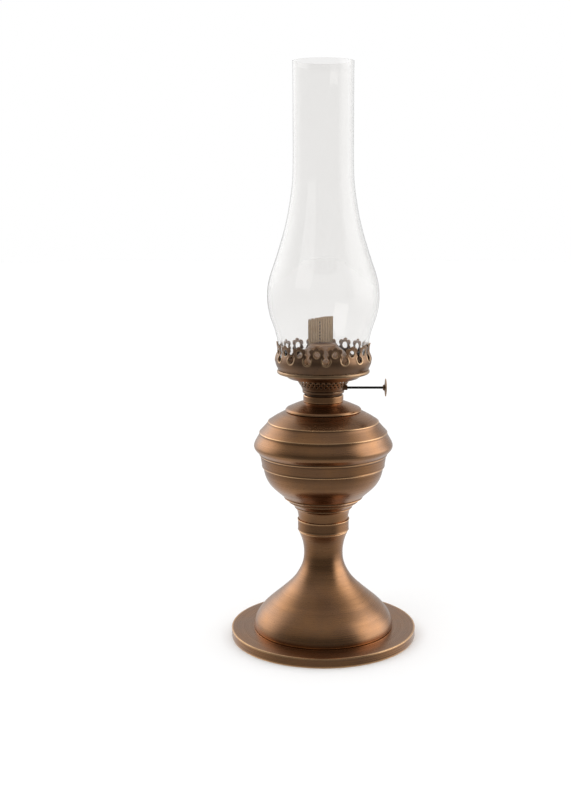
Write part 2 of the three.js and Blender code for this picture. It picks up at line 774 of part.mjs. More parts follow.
// A cutter that goes through one side of the crown. Across a flower's width the crown curves
// back from its front, and the cutter reaches as far behind the sheet as the flower is wide.
const crownOutside = crownFoot + CROWN_BULGE + CUT_PAST;
const crownInside = crownInner - FLOWER_RADIUS;
const radialCut = (shape) => solid(slab(shape, -crownOutside, -crownInside));
const flowerHead = radialCut(
  rosette(
    (angle) => {
      const lobe = Math.cos(FLOWER_LOBES * (angle - Math.PI / 2));
      return FLOWER_RADIUS - (FLOWER_LOBE_DEPTH * (1 - lobe)) / 2;
    },
    FLOWER_LOBES * 4,
    0,
    flowerHeight,
  ),
);
const stemHalfWidth = (Math.PI * crownFoot) / FLOWERS - KEYHOLE_NECK / 2;
const flowerStem = radialCut(
  polygon([
    [-stemHalfWidth, keyholeHeight],
    [stemHalfWidth, keyholeHeight],
    [stemHalfWidth, keyholeHeight + KEYHOLE_RADIUS],
    [FLOWER_SHOULDER, flowerHeight],
    [-FLOWER_SHOULDER, flowerHeight],
    [-stemHalfWidth, keyholeHeight + KEYHOLE_RADIUS],
  ]),
);
const halfPitch = 180 / FLOWERS;
const crownBand = solid(spun(crownOutline, CROWN_SHEET, FLOWERS * 2));
const aboveKeyholes = solid(
  tube(crownOutside, crownInside, keyholeHeight, crownTop + CUT_PAST, SPUN_SIDES),
);
const kept = spread(flowerHead.add(flowerStem), FLOWERS, FLOWER_TURN);
const flowerHoles = spread(
  radialCut(disc(FLOWER_HOLE_RADIUS, HOLE_SIDES, 0, flowerHeight)),
  FLOWERS,
  FLOWER_TURN,
);
const keyholes = spread(
  radialCut(disc(KEYHOLE_RADIUS, HOLE_SIDES, 0, keyholeHeight)),
  FLOWERS,
  FLOWER_TURN + halfPitch,
);
add(
  "gallery_crown",
  geometryOf(crownBand.subtract(aboveKeyholes.subtract(kept)).subtract(flowerHoles).subtract(keyholes)),
  bronzeDark,
);

// The deflector is a dome with a slot for the flame. It stands on the air plate's rim.
const domeOutline = [
  [1, 0],
  [0.985, 0.15],
  [0.93, 0.39],
  [0.8, 0.59],
  [0.64, 0.725],
  [0.51, 0.85],
  [0.4, 0.94],
  [0.35, 0.975],
  [0.18, 0.997],
  [0, 1],
].map(([out, up]) => [deflectorRadius * out, airPlateBottom + DEFLECTOR_HEIGHT * up]);
const domeOutside = smooth(domeOutline, 10);
const domeInside = thinned(inset(domeOutside, DEFLECTOR_SHEET));
domeInside[domeInside.length - 1].x = 0;
domeInside[0].y = airPlateBottom;
const flameSlot = solid(
  plate(
    rectangle(tubeHalfWidth + SLOT_ROOM, SLOT_WIDTH / 2),
    deflectorTop - SLOT_DEPTH,
    deflectorTop + SLOT_DEPTH,
  ),
);
add(
  "flame_deflector",
  cut(turned([...domeOutside, ...domeInside.reverse()], SPUN_SIDES), flameSlot),
  bronze,
);

// -------------------------------------------------------------------------------- winder

// Two lugs stand out from the front of the wick tube and carry the shaft.
const lugBack = -tubeHalfDepth - GAP;
const lugFront = shaftFront - shaftHole - LUG_RIM;
const lugShape = polygon([
  [lugBack, shaftHeight - LUG_HALF_HEIGHT],
  [lugBack, shaftHeight + LUG_HALF_HEIGHT],
  [shaftFront, shaftHeight + shaftHole + LUG_RIM],
  [lugFront, shaftHeight + LUG_RIM],
  [lugFront, shaftHeight - LUG_RIM],
  [shaftFront, shaftHeight - shaftHole - LUG_RIM],
]);
const lugBore = solid(winderBar(shaftHole, -lugPlace - LUG_RIM, lugPlace + LUG_RIM));
for (const [name, middle] of [
  ["shaft_lug_left", -lugPlace],
  ["shaft_lug_right", lugPlace],
]) {
  const lug = cheek(lugShape, middle - LUG_THICKNESS / 2, middle + LUG_THICKNESS / 2);
  add(name, cut(lug, lugBore), bronzeDark);
}

const bushingStart = shaftExit - BUSHING_LENGTH / 2;
const bushingEnd = shaftExit + BUSHING_LENGTH / 2;
add(
  "shaft_bushing",
  cut(
    winderBar(bushingRadius, bushingStart, bushingEnd),
    solid(winderBar(shaftHole, bushingStart - CUT_PAST, bushingEnd + CUT_PAST)),
  ),
  bronzeDark,
);

const shaftStart = -lugPlace - SHAFT_END;
add("winder_shaft", winderBar(SHAFT_RADIUS, shaftStart, SHAFT_REACH), blackSteel);

// The wheels have saw teeth that grip the wick's weave.
const wheelOutline = Array.from({ length: WHEEL_TEETH * 2 }, (_, corner) => {
  const angle = (Math.PI * (corner + (corner % 2) * TOOTH_LEAN)) / WHEEL_TEETH;
  const radius = corner % 2 ? WHEEL_RADIUS - TOOTH_DEPTH : WHEEL_RADIUS;
  return [radius * Math.cos(angle), radius * Math.sin(angle)];
});
wheelPlaces.forEach((place, index) => {
  const shape = polygon(wheelOutline);
  shape.holes.push(disc(SHAFT_RADIUS + GAP, ROD_SIDES));
  const wheel = cheek(shape, -WHEEL_THICKNESS / 2, WHEEL_THICKNESS / 2);
  const mesh = add(`winder_wheel_${index + 1}`, wheel, plainSteel);
  mesh.position.set(place, shaftFront, shaftHeight);
});

// The knob is a thin disc with a hub, blind on the outside.
const knobHubStart = SHAFT_REACH + GAP + KNOB_SKIN - KNOB_THICKNESS - KNOB_HUB_LENGTH;
const knobDisc = knobHubStart + KNOB_HUB_LENGTH;
const knobFace = knobDisc + KNOB_THICKNESS;
const knobProfile = [
  at(0, knobFace),
  at(KNOB_RADIUS - KNOB_CHAMFER, knobFace),
  at(KNOB_RADIUS, knobFace - KNOB_CHAMFER),
  at(KNOB_RADIUS, knobDisc + KNOB_CHAMFER),
  at(KNOB_RADIUS - KNOB_CHAMFER, knobDisc),
  at(KNOB_HUB_RADIUS, knobDisc),
  at(KNOB_HUB_RADIUS, knobHubStart),
  at(shaftHole, knobHubStart),
  at(shaftHole, SHAFT_REACH + GAP),
  at(0, SHAFT_REACH + GAP),
];
const knob = add("winder_knob", turned(knobProfile).rotateY(Math.PI / 2), bronzeDark);
knob.position.set(0, shaftFront, shaftHeight);

// ---------------------------------------------------------------------- wick and chimney

const wickLeft = -WICK_PLAY - WICK_WIDTH / 2;
const wickRight = -WICK_PLAY + WICK_WIDTH / 2;
const wickShape = polygon([
  [wickLeft, wickBottom],
  [wickRight, wickBottom],
  [wickRight, wickTop + WICK_SLANT / 2],
  [wickLeft, wickTop - WICK_SLANT / 2],
]);
add("wick", slab(wickShape, -WICK_THICKNESS / 2, WICK_THICKNESS / 2), cotton);

// The chimney's foot follows the crown, so that it clears the crown whatever its height.
const chimneyFoot = [
  [0, 0],
  [0.25, 0.5],
  [1, 1],
].map(([out, up]) => [fitterRadius + GLASS_LEAN * out, between(chimneyBottom, crownTop, up)]);
// Above the crown: [share from one radius to the next, share of the height that is left].
const heightLeft = chimneyBottom + CHIMNEY_HEIGHT - crownTop;
const chimneyBulge = [
  [0.3, 0.028],
  [0.64, 0.088],
  [0.91, 0.137],
  [1, 0.173],
  [0.985, 0.204],
].map(([out, up]) => [
  between(fitterRadius, CHIMNEY_BULGE_RADIUS, out),
  crownTop + heightLeft * up,
]);
const chimneyNeck = [
  [0.855, 0.256],
  [0.63, 0.32],
  [0.42, 0.385],
  [0.245, 0.449],
  [0.115, 0.514],
  [0.035, 0.572],
  [0, 0.644],
  [0, 0.822],
  [0.012, 1],
].map(([out, up]) => [
  between(CHIMNEY_TUBE_RADIUS, CHIMNEY_BULGE_RADIUS, out),
  crownTop + heightLeft * up,
]);
const chimneyOutline = smooth([...chimneyFoot, ...chimneyBulge, ...chimneyNeck], 17);
add("chimney", spun(chimneyOutline, GLASS), glass);

export default lamp;
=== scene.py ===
# %% [markdown]
# # A table oil lamp with a flat wick
# The lamp is mostly thin brass sheet, pressed against a turning form and then given a dark
# antique finish. This lesson starts from a working model that is already in place, and gives each
# of its pieces the shape and the surface of the real one. Every piece sits where the model says,
# so the first step loads the model and keeps its size.

# %% Load the model
import math

import bmesh
import bpy
import numpy as np
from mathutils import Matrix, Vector


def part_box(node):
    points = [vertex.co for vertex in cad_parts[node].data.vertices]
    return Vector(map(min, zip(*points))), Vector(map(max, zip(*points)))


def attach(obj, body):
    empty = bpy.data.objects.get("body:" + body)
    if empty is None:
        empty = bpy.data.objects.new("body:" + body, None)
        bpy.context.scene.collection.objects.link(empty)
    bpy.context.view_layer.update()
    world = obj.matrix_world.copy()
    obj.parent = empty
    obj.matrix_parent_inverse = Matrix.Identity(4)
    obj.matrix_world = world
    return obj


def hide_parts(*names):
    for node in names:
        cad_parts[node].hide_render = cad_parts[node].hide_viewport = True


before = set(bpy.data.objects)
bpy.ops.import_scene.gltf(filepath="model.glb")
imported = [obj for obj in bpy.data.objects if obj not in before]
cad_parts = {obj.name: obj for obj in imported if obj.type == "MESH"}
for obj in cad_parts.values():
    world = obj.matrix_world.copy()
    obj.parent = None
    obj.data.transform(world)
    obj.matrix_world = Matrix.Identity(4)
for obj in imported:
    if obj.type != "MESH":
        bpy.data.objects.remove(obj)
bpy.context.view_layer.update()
scene = bpy.context.scene
MM = 0.001

# %% [markdown]
# ## The camera
# The lamp is seen from a little above its middle, from about a metre away. A longer lens from
# farther off would flatten the foot into a line, and a wider one would swell it.

# %% Set up the camera
camera_data = bpy.data.cameras.new("camera")
camera_data.sensor_width = 36
camera_data.lens = 53.13
camera_data.shift_x = -0.0473
camera = bpy.data.objects.new("camera", camera_data)
camera.location = (0, -0.980, 0.3762)
camera.rotation_euler = (math.radians(80.17), 0, 0)
scene.collection.objects.link(camera)
scene.camera = camera

# %% [markdown]
# ## The studio
# Bright metal shows what stands round it, so the room matters as much as the lamp. The room here
# is a sky shader that answers each kind of ray in its own way. The eye, a ray through the glass
# and the soft fill light all meet plain white. A reflection meets a studio: dim in front, paler
# behind, and with a tall soft panel standing at each side. The panels give the long highlights to
# the left and right of the middle. The plain colour transform keeps the white paper white.

# %% Light the studio
scene.view_settings.view_transform = "Standard"
world = bpy.data.worlds.new("studio")
scene.world = world
world.use_nodes = True


class Bench:
    """A node tree on the bench: each call adds one node and wires up what it is given."""

    def __init__(self, tree):
        self.tree = tree

    def add(self, kind, **settings):
        node = self.tree.nodes.new(kind)
        for name, value in settings.items():
            setattr(node, name, value)
        return node

    def plug(self, socket, value):
        if isinstance(value, bpy.types.NodeSocket):
            self.tree.links.new(value, socket)
        elif value is not None:
            socket.default_value = value

    def sum(self, operation, first, second=None, third=None, clamp=False):
        node = self.add("ShaderNodeMath", operation=operation, use_clamp=clamp)
        for socket, value in zip(node.inputs, (first, second, third)):
            self.plug(socket, value)
        return node.outputs[0]

    def vector(self, operation, first, second=None, scale=None):
        node = self.add("ShaderNodeVectorMath", operation=operation)
        self.plug(node.inputs[0], first)
        if second is not None:
            self.plug(node.inputs[1], second)
        if scale is not None:
            self.plug(node.inputs["Scale"], scale)
        return node.outputs["Value" if operation in ("LENGTH", "DOT_PRODUCT") else "Vector"]

    def blend(self, share, first, second):
        node = self.add("ShaderNodeMix", data_type="RGBA")
        self.plug(node.inputs["Factor"], share)
        self.plug(node.inputs["A"], first)
        self.plug(node.inputs["B"], second)
        return node.outputs["Result"]

    def range(self, value, low, high, to_low=0.0, to_high=1.0, smooth=True):
        curve = "SMOOTHSTEP" if smooth else "LINEAR"
        node = self.add("ShaderNodeMapRange", interpolation_type=curve)
        for name, given in zip(node.inputs[:5], (value, low, high, to_low, to_high)):
            self.plug(name, given)
        return node.outputs[0]

    def noise(self, vector, scale, detail=2.0, roughness=0.5):
        node = self.add("ShaderNodeTexNoise")
        given = {"Vector": vector, "Scale": scale, "Detail": detail, "Roughness": roughness}
        for name, value in given.items():
            self.plug(node.inputs[name], value)
        return node.outputs["Fac"]

    def times(self, first, second):
        return self.sum("MULTIPLY", first, second)

    def mix(self, share, full, empty):
        """One number in place of another, as far as the share goes."""
        rest = self.times(self.sum("SUBTRACT", 1.0, share), empty)
        return self.sum("MULTIPLY_ADD", share, full, rest)

    def place(self):
        return self.add("ShaderNodeTexCoord").outputs["Object"]

    def split(self, vector):
        node = self.add("ShaderNodeSeparateXYZ")
        self.plug(node.inputs[0], vector)
        return node.outputs


def new_finish(name, **values):
    """A new material with plain values on its shader: the material, its bench and its sockets."""
    material = bpy.data.materials.new(name)
    material.use_nodes = True
    bench = Bench(material.node_tree)
    skin = bench.tree.nodes["Principled BSDF"].inputs
    for socket, value in values.items():
        skin[socket.replace("_", " ")].default_value = value
    return material, bench, skin


def bumped(bench, skin, height, distance, strength=1.0):
    """Gives the finish small hills, of a depth in metres."""
    bump = bench.add("ShaderNodeBump")
    bump.inputs["Strength"].default_value = strength
    bump.inputs["Distance"].default_value = distance
    bench.plug(bump.inputs["Height"], height)
    bench.plug(skin["Normal"], bump.outputs[0])


def light_room(front, back, above, table_front, table_back, panels):
    """The sky: how bright a reflection finds the room in front, behind and above, the table in
    front and behind, and the panels. Each panel has a bearing from the front, a half width, a
    lowest and a highest angle and a softness of its edges, all in degrees, and a brightness."""
    bench = Bench(world.node_tree)
    world.node_tree.nodes.clear()
    way = bench.split(bench.add("ShaderNodeTexCoord").outputs["Generated"])
    bearing = bench.sum("ARCTAN2", way["X"], bench.times(way["Y"], -1.0))
    height = bench.sum("ARCSINE", way["Z"])
    level = bench.range(way["Y"], -0.8, 0.9, front, back)
    table = bench.range(way["Y"], -0.7, 0.7, table_front, table_back)
    light = bench.mix(bench.range(height, 0.35, 1.1), above, level)
    light = bench.mix(bench.range(bench.times(height, -1.0), 0.1, 0.6), table, light)
    for angle, half, low, high, soft, brightness in panels:
        off = bench.sum("ABSOLUTE", bench.sum("SUBTRACT", bearing, math.radians(angle)))
        edges = ((off, half, 1.0, 0.0), (height, low, 0.0, 1.0), (height, high, 1.0, 0.0))
        wide, foot, head = (
            bench.range(value, math.radians(edge - soft), math.radians(edge + soft), before, after)
            for value, edge, before, after in edges
        )
        lit = bench.times(wide, bench.times(foot, head))
        light = bench.sum("MULTIPLY_ADD", lit, brightness, light)
    rays = bench.add("ShaderNodeLightPath").outputs
    mirrored = bench.sum("GREATER_THAN", rays["Is Glossy Ray"], rays["Is Transmission Ray"])
    paper = bench.sum("MULTIPLY_ADD", rays["Is Diffuse Ray"], 0.10, 1.0)
    shade = bench.blend(mirrored, paper, light)
    background = bench.add("ShaderNodeBackground")
    bench.plug(background.inputs["Color"], shade)
    output = bench.add("ShaderNodeOutputWorld")
    bench.plug(output.inputs["Surface"], background.outputs[0])


def soft_box(name, place, aim, width, height, power):
    """A soft light for what isn't shiny. The panels of the sky do its work in reflections."""
    data = bpy.data.lights.new(name, "AREA")
    data.shape = "RECTANGLE"
    data.size, data.size_y = width, height
    data.energy = power
    box = bpy.data.objects.new(name, data)
    box.location = place
    box.rotation_euler = (Vector(aim) - Vector(place)).to_track_quat("-Z", "Y").to_euler()
    box.visible_glossy = False
    scene.collection.objects.link(box)


light_room(
    front=0.10,
    back=0.62,
    above=0.36,
    table_front=0.34,
    table_back=0.85,
    panels=[(95, 28, -8, 48, 16, 1.85), (-124, 27, 2, 44, 20, 1.45)],
)
soft_box("soft_box_left", (-0.9, -0.9, 1.0), (0, 0, 0.22), 0.9, 0.9, 3)

# %% [markdown]
# The lamp stands on a plain pale table. It is a wide disc with a faint mottle, so that the shadow
# under the foot falls on something. The metal doesn't mirror it: inside a light tent the lamp
# stands on a narrow white sheet, and the underside of the font mostly mirrors the dim room.

# %% Lay the table
TABLE_RADIUS = 6  # metres, so that its edge is out of sight
floor_material, bench, skin = new_finish("pale_table", Roughness=0.85)
mottle = bench.noise(bench.place(), 9, 4)
bench.plug(skin["Base Color"], bench.blend(mottle, (0.96, 0.96, 0.96, 1), (0.99, 0.99, 0.99, 1)))

shape = bmesh.new()
bmesh.ops.create_circle(shape, cap_ends=True, segments=96, radius=TABLE_RADIUS)
floor_mesh = bpy.data.meshes.new("floor")
shape.to_mesh(floor_mesh)
shape.free()
floor = bpy.data.objects.new("floor", floor_mesh)
floor_mesh.materials.append(floor_material)
floor.visible_glossy = False
scene.collection.objects.link(floor)

# %% [markdown]
# ## Marks left by the turning form
# A spun sheet carries fine rings from the tool that pressed it. They could be drawn as bump from
# a picture, but a formula rides with the piece and has no seam: noise that changes quickly with
# the distance from the axis and with the height, and hardly at all round the axis. It is a group,
# so that every turned metal on the lamp can use it with its own fineness.


# %% Node group: turned lines
def make_group(name, inputs, outputs):
    """An empty shader node group with named sockets, and the bench to fill it on."""
    tree = bpy.data.node_groups.new(name, "ShaderNodeTree")
    for socket, kind in inputs:
        tree.interface.new_socket(socket, in_out="INPUT", socket_type=kind)
    for socket, kind in outputs:
        tree.interface.new_socket(socket, in_out="OUTPUT", socket_type=kind)
    bench = Bench(tree)
    return bench, bench.add("NodeGroupInput").outputs, bench.add("NodeGroupOutput").inputs


bench, given, result = make_group(
    "turned lines",
    [("Lines per metre", "NodeSocketFloat")],
    [("Fine", "NodeSocketFloat"), ("Broad", "NodeSocketFloat")],
)
axis = bench.split(bench.place())
flat = bench.add("ShaderNodeCombineXYZ")
bench.plug(flat.inputs[0], axis["X"])
bench.plug(flat.inputs[1], axis["Y"])
radius = bench.vector("LENGTH", flat.outputs[0])
around = bench.vector("NORMALIZE", flat.outputs[0])
rings = bench.add("ShaderNodeCombineXYZ")
bench.plug(rings.inputs[0], bench.times(radius, given["Lines per metre"]))
bench.plug(rings.inputs[1], bench.times(axis["Z"], given["Lines per metre"]))
path = bench.vector("ADD", rings.outputs[0], bench.vector("SCALE", around, scale=0.6))
bench.plug(result["Fine"], bench.noise(path, 1.0, 3, 0.6))
bench.plug(result["Broad"], bench.noise(path, 0.16, 1))

# %% [markdown]
# ## Patina
# Antique brass is coloured in a bath and then rubbed back, so its brown drifts slowly from warm
# to cool, with small darker specks. One group makes both, and each finish mixes them in its own
# way.

# %% Node group: patina
bench, given, result = make_group(
    "patina",
    [("Size of clouds", "NodeSocketFloat")],
    [("Clouds", "NodeSocketFloat"), ("Specks", "NodeSocketFloat")],
)
place = bench.place()
clouds = bench.noise(place, given["Size of clouds"], 4, 0.55)
bench.plug(result["Clouds"], bench.range(clouds, 0.3, 0.7))
bench.plug(result["Specks"], bench.range(bench.noise(place, 620.0, 2, 0.7), 0.63, 0.74))

# %% [markdown]
# ## Rubbed edges
# Rubbing back takes the dark coat off whatever stands proud, and leaves it in the grooves. When a
# piece is made further down, each of its points is told how sharply the outline turns there:
# above zero on a ridge, below zero in a groove. This group turns that number into two masks, and
# breaks them up a little, because nobody rubs evenly.

# %% Node group: rubbed edges
bench, given, result = make_group(
    "rubbed edges",
    [("Turn", "NodeSocketFloat")],
    [("Rubbed", "NodeSocketFloat"), ("Groove patina and painted shade", "NodeSocketFloat")],
)
uneven = bench.range(bench.noise(bench.place(), 140.0, 3), 0.25, 0.7, 0.6, 1.15, smooth=False)
# The groove mask is the dark coat left in the hollows. On the screw ring's thread it is painted
# shade, because that thread is set below zero outright.
masks = {
    "Rubbed": bench.range(given["Turn"], 0.10, 0.75),
    "Groove patina and painted shade": bench.range(bench.times(given["Turn"], -1.0), 0.05, 0.6),
}
for socket, mask in masks.items():
    bench.plug(result[socket], bench.sum("MULTIPLY", mask, uneven, clamp=True))


# %% [markdown]
# ## The antique bronze finish
# One function makes the finish, and its values make the two kinds on the lamp: the warm satin of
# the foot and font, and the darker, duller coat of the stamped burner. The colour of a metal is
# the colour of its reflections, so the body colour is lighter than the metal looks, and the dim
# parts of the studio darken it. A thin coat of clear lacquer keeps real antique brass from
# tarnishing. It adds a white gleam that grows towards the edges of every round form, so the
# finish has a coat as well.


# %% Antique bronze
def coat(bench, name, **values):
    """Places a finished group on the bench with its own values."""
    node = bench.add("ShaderNodeGroup", node_tree=bpy.data.node_groups[name])
    for socket, value in values.items():
        bench.plug(node.inputs[socket.replace("_", " ")], value)
    return node.outputs


def bronze(name, body, cool, rubbed, groove, roughness, lacquer, lines=900.0):
    material, bench, skin = new_finish(name, Metallic=1.0, Coat_Roughness=0.22)
    turned = coat(bench, "turned lines", Lines_per_metre=lines)
    patina = coat(bench, "patina", Size_of_clouds=38.0)
    turn = bench.add("ShaderNodeAttribute", attribute_name="turn").outputs["Fac"]
    edges = coat(bench, "rubbed edges", Turn=turn)

    clouded = bench.blend(patina["Clouds"], body, cool)
    lined = bench.blend(bench.range(turned["Broad"], 0.35, 0.75, 0.0, 0.22), clouded, groove)
    specked = bench.blend(bench.times(patina["Specks"], 0.5), lined, groove)
    # The dark coat in the hollows, and painted shade on the screw ring's thread.
    dark = bench.blend(bench.times(edges["Groove patina and painted shade"], 0.85), specked, groove)
    bench.plug(skin["Base Color"], bench.blend(edges["Rubbed"], dark, rubbed))

    satin = bench.range(turned["Fine"], 0.3, 0.7, roughness - 0.05, roughness + 0.07)
    dulled = bench.sum("ADD", satin, bench.times(patina["Specks"], 0.12))
    duller = bench.sum("ADD", dulled, bench.times(edges["Groove patina and painted shade"], 0.15))
    worn = bench.sum("SUBTRACT", duller, bench.times(edges["Rubbed"], 0.06))
    bench.plug(skin["Roughness"], worn)

    bumped(bench, skin, turned["Fine"], 0.00006, strength=0.25)
    gleam = bench.range(patina["Clouds"], 0.0, 1.0, lacquer - 0.1, lacquer + 0.1)
    bench.plug(skin["Coat Weight"], gleam)
    return material


antique_bronze = bronze(
    "antique_bronze",
    body=(0.42, 0.210, 0.094, 1),
    cool=(0.335, 0.172, 0.085, 1),
    rubbed=(0.86, 0.525, 0.275, 1),
    groove=(0.12, 0.062, 0.030, 1),
    roughness=0.27,
    lacquer=0.28,
)
dark_bronze = bronze(
    "dark_bronze",
    body=(0.30, 0.168, 0.090, 1),
    cool=(0.21, 0.124, 0.074, 1),
    rubbed=(0.66, 0.44, 0.25, 1),
    groove=(0.07, 0.042, 0.024, 1),
    roughness=0.36,
    lacquer=0.2,
    lines=600.0,
)
ANTIQUE = ("antique_bronze", antique_bronze)  # a finish's name in the model, and the finish
DARK = ("dark_bronze", dark_bronze)
print("bronze finishes:", antique_bronze.name, dark_bronze.name)

# %% [markdown]
# ## Steel and iron
# The winder's shaft is blackened, the rod and its nut inside the lamp are zinc plated, and the
# weight in the foot is rough cast iron. Each is one short material with its own kind of grain.


# %% Steel and iron finishes
def grained_metal(name, dark, pale, metallic, roughness, grain, depth):
    """A finish with a grain of so many specks to the metre, and bump of the given strength."""
    material, bench, skin = new_finish(name, Metallic=metallic)
    grains = bench.noise(bench.place(), grain, 5, 0.6)
    patina = coat(bench, "patina", Size_of_clouds=90.0)
    bench.plug(skin["Base Color"], bench.blend(bench.range(grains, 0.3, 0.7), dark, pale))
    worn = bench.range(patina["Clouds"], 0.0, 1.0, roughness - 0.06, roughness + 0.08)
    bench.plug(skin["Roughness"], worn)
    bumped(bench, skin, grains, 0.0002, strength=depth)
    return material


black_steel, plain_steel, cast_iron = (
    grained_metal(name, (*dark, 1), (*pale, 1), *values)
    for name, dark, pale, values in (
        ("black_steel", (0.010, 0.009, 0.008), (0.03, 0.028, 0.026), (0.6, 0.38, 900, 0.15)),
        ("plain_steel", (0.38, 0.38, 0.37), (0.58, 0.58, 0.56), (1.0, 0.34, 500, 0.2)),
        ("cast_iron", (0.03, 0.028, 0.026), (0.10, 0.095, 0.09), (0.4, 0.75, 420, 0.9)),
    )
)

# %% [markdown]
# ## Felt, cotton and glass
# Felt is a mat of short hairs: fine noise in colour and bump, and a little sheen. The wick is
# woven cotton, so its colour follows cords that run up and threads that cross them. The glass is
# clear and a shade uneven, as blown glass is.


# %% Felt
def make_felt():
    material, bench, skin = new_finish("felt", Sheen_Weight=0.4)
    hairs = bench.noise(bench.place(), 1600, 4, 0.7)
    colour = bench.blend(hairs, (0.012, 0.010, 0.009, 1), (0.05, 0.045, 0.04, 1))
    bench.plug(skin["Base Color"], colour)
    bench.plug(skin["Roughness"], bench.range(hairs, 0.2, 0.8, 0.88, 1.0))
    bumped(bench, skin, hairs, 0.0004)
    return material


felt = make_felt()


# %% Cotton
CORD_PITCH = 1.4  # mm, of the cords that run up the wick
CROSS_PITCH = 1.3  # mm, of the threads that cross them


def make_cotton(name, dark, pale, worn):
    material, bench, skin = new_finish(name, Sheen_Weight=0.05)
    place = bench.place()
    axis = bench.split(place)
    wander = bench.times(bench.noise(place, 420, 2), 3.5)
    cords = bench.sum("MULTIPLY_ADD", axis["X"], 2 * math.pi / (CORD_PITCH * MM), wander)
    across = bench.sum("SINE", cords)
    up = bench.sum("SINE", bench.times(axis["Z"], 2 * math.pi / (CROSS_PITCH * MM)))
    crossed = bench.times(across, up)
    weave = bench.range(bench.sum("MULTIPLY_ADD", crossed, 0.6, across), -1.1, 1.1)
    fibres = bench.noise(place, 1100, 4, 0.8)
    stains = bench.range(bench.noise(place, 260, 3, 0.6), 0.5, 0.75, 0, 0.6)
    fuzz = bench.range(fibres, 0.3, 0.7)
    threads = bench.sum("MULTIPLY_ADD", fuzz, 0.9, bench.times(weave, 0.8))
    woven = bench.blend(bench.range(threads, 0.25, 1.35), dark, pale)
    bench.plug(skin["Base Color"], bench.blend(stains, woven, worn))
    bench.plug(skin["Roughness"], bench.range(fibres, 0.2, 0.8, 0.85, 1.0))
    bumped(bench, skin, bench.sum("ADD", weave, fibres), 0.00014)
    return material


cotton = make_cotton(
    "cotton_wick",
    dark=(0.25, 0.160, 0.085, 1),
    pale=(0.72, 0.52, 0.33, 1),
    worn=(0.34, 0.21, 0.115, 1),
)
stitch_thread = make_cotton(
    "stitch_thread",
    dark=(0.014, 0.016, 0.018, 1),
    pale=(0.05, 0.055, 0.06, 1),
    worn=(0.03, 0.032, 0.034, 1),
)


# %% Glass
def make_glass():
    material, bench, skin = new_finish("clear_glass", IOR=1.48, Transmission_Weight=1.0)
    waves = bench.noise(bench.place(), 14, 1)
    colour = bench.blend(waves, (0.902, 0.896, 0.888, 1), (0.920, 0.914, 0.906, 1))
    bench.plug(skin["Base Color"], colour)
    bench.plug(skin["Roughness"], bench.range(waves, 0.2, 0.8, 0.0, 0.012))
    bumped(bench, skin, waves, 0.002, strength=0.12)
    return material


clear_glass = make_glass()

# %% [markdown]
# ## Outlines
# Nearly everything here was turned, so nearly everything starts as an outline: a run of points,
# each a radius and a height in millimetres. A few points are enough, because `flowing` draws a
# smooth run through them, `softened` rounds the corners where two runs meet, and `evened` adds
# points on the long stretches so that light rolls over them smoothly.


# %% Draw an outline
SMALLEST_CORNER = math.radians(14)  # a smaller turn is part of a curve


def flowing(points, step=1.0):
    """A smooth run that passes through every point it is given."""
    first, last = (2 * np.array(points[end]) - points[beside] for end, beside in ((0, 1), (-1, -2)))
    ends = [first, *map(np.array, points), last]
    run = [tuple(points[0])]
    for before, start, end, after in zip(ends, ends[1:], ends[2:], ends[3:]):
        knots = [0.0]
        for here, there in ((before, start), (start, end), (end, after)):
            knots.append(knots[-1] + math.sqrt(np.linalg.norm(there - here)))
        count = max(1, round(np.linalg.norm(end - start) / step))
        for index in range(1, count + 1):
            t = knots[1] + (knots[2] - knots[1]) * index / count
            row = [before, start, end, after]
            for level in (1, 2, 3):
                pairs = [(row[i], row[i + 1], knots[i], knots[i + level]) for i in range(4 - level)]
                row = [(a * (high - t) + b * (t - low)) / (high - low) for a, b, low, high in pairs]
            run.append(tuple(row[0]))
    return run


def softened(points, radius, closed=False, steps=3):
    """Rounds each corner that turns by more than a few degrees."""
    made = []
    for index, here in enumerate(points):
        if not closed and index in (0, len(points) - 1):
            made.append(tuple(here))
            continue
        here = np.array(here)
        back = np.array(points[index - 1]) - here
        on = np.array(points[(index + 1) % len(points)]) - here
        lengths = np.linalg.norm(back), np.linalg.norm(on)
        cosine = np.clip(np.dot(back, on) / (lengths[0] * lengths[1]), -1, 1)
        turn = math.pi - math.acos(cosine)
        if turn < SMALLEST_CORNER:
            made.append(tuple(here))
            continue
        cut = min(radius * math.tan(turn / 2), 0.45 * lengths[0], 0.45 * lengths[1])
        start, end = here + back / lengths[0] * cut, here + on / lengths[1] * cut
        for step in range(steps + 1):
            t = step / steps
            made.append(tuple((1 - t) ** 2 * start + 2 * t * (1 - t) * here + t * t * end))
    return made


def evened(points, longest=1.4, closed=False):
    """Splits every stretch that is longer than it should be."""
    made = []
    following = points[1:] + (points[:1] if closed else [])
    for start, end in zip(points, following):
        count = max(1, math.ceil(math.dist(start, end) / longest))
        made += [tuple(np.array(start) + (np.array(end) - start) * i / count) for i in range(count)]
    return made if closed else made + [points[-1]]


def sheet(outside, wall, corner=0.35):
    """The closed section of a sheet: its outside, and the same line moved in by the wall."""
    outer = np.array(evened(softened(outside, corner)))
    along = np.gradient(outer, axis=0)
    along /= np.linalg.norm(along, axis=1)[:, None]
    inner = outer + wall * np.stack([-along[:, 1], along[:, 0]], axis=1)
    clear = [min(np.linalg.norm(outer - point, axis=1)) > wall * 0.97 for point in inner]
    inside = [tuple(point) for point, is_clear in zip(inner, clear) if is_clear]
    return [*map(tuple, outer), *inside[::-1]]


def section(outside, wall, corner=0.35, edge=0.2, steps=3):
    """The section of a sheet with its cut edges rounded too."""
    return softened(sheet(outside, wall, corner), edge, closed=True, steps=steps)


def rounded(outline, corner, longest):
    """A closed outline with round corners and points all along it."""
    return evened(softened(outline, corner, closed=True), longest, closed=True)


# %% [markdown]
# ## Turning an outline
# Blender's Screw modifier could turn the outline, but a mesh made in code can also carry the
# number that the rubbed edges need. The turn is measured on the outline itself, over a little
# more than half a millimetre either way, and every ring of points is given its own value.

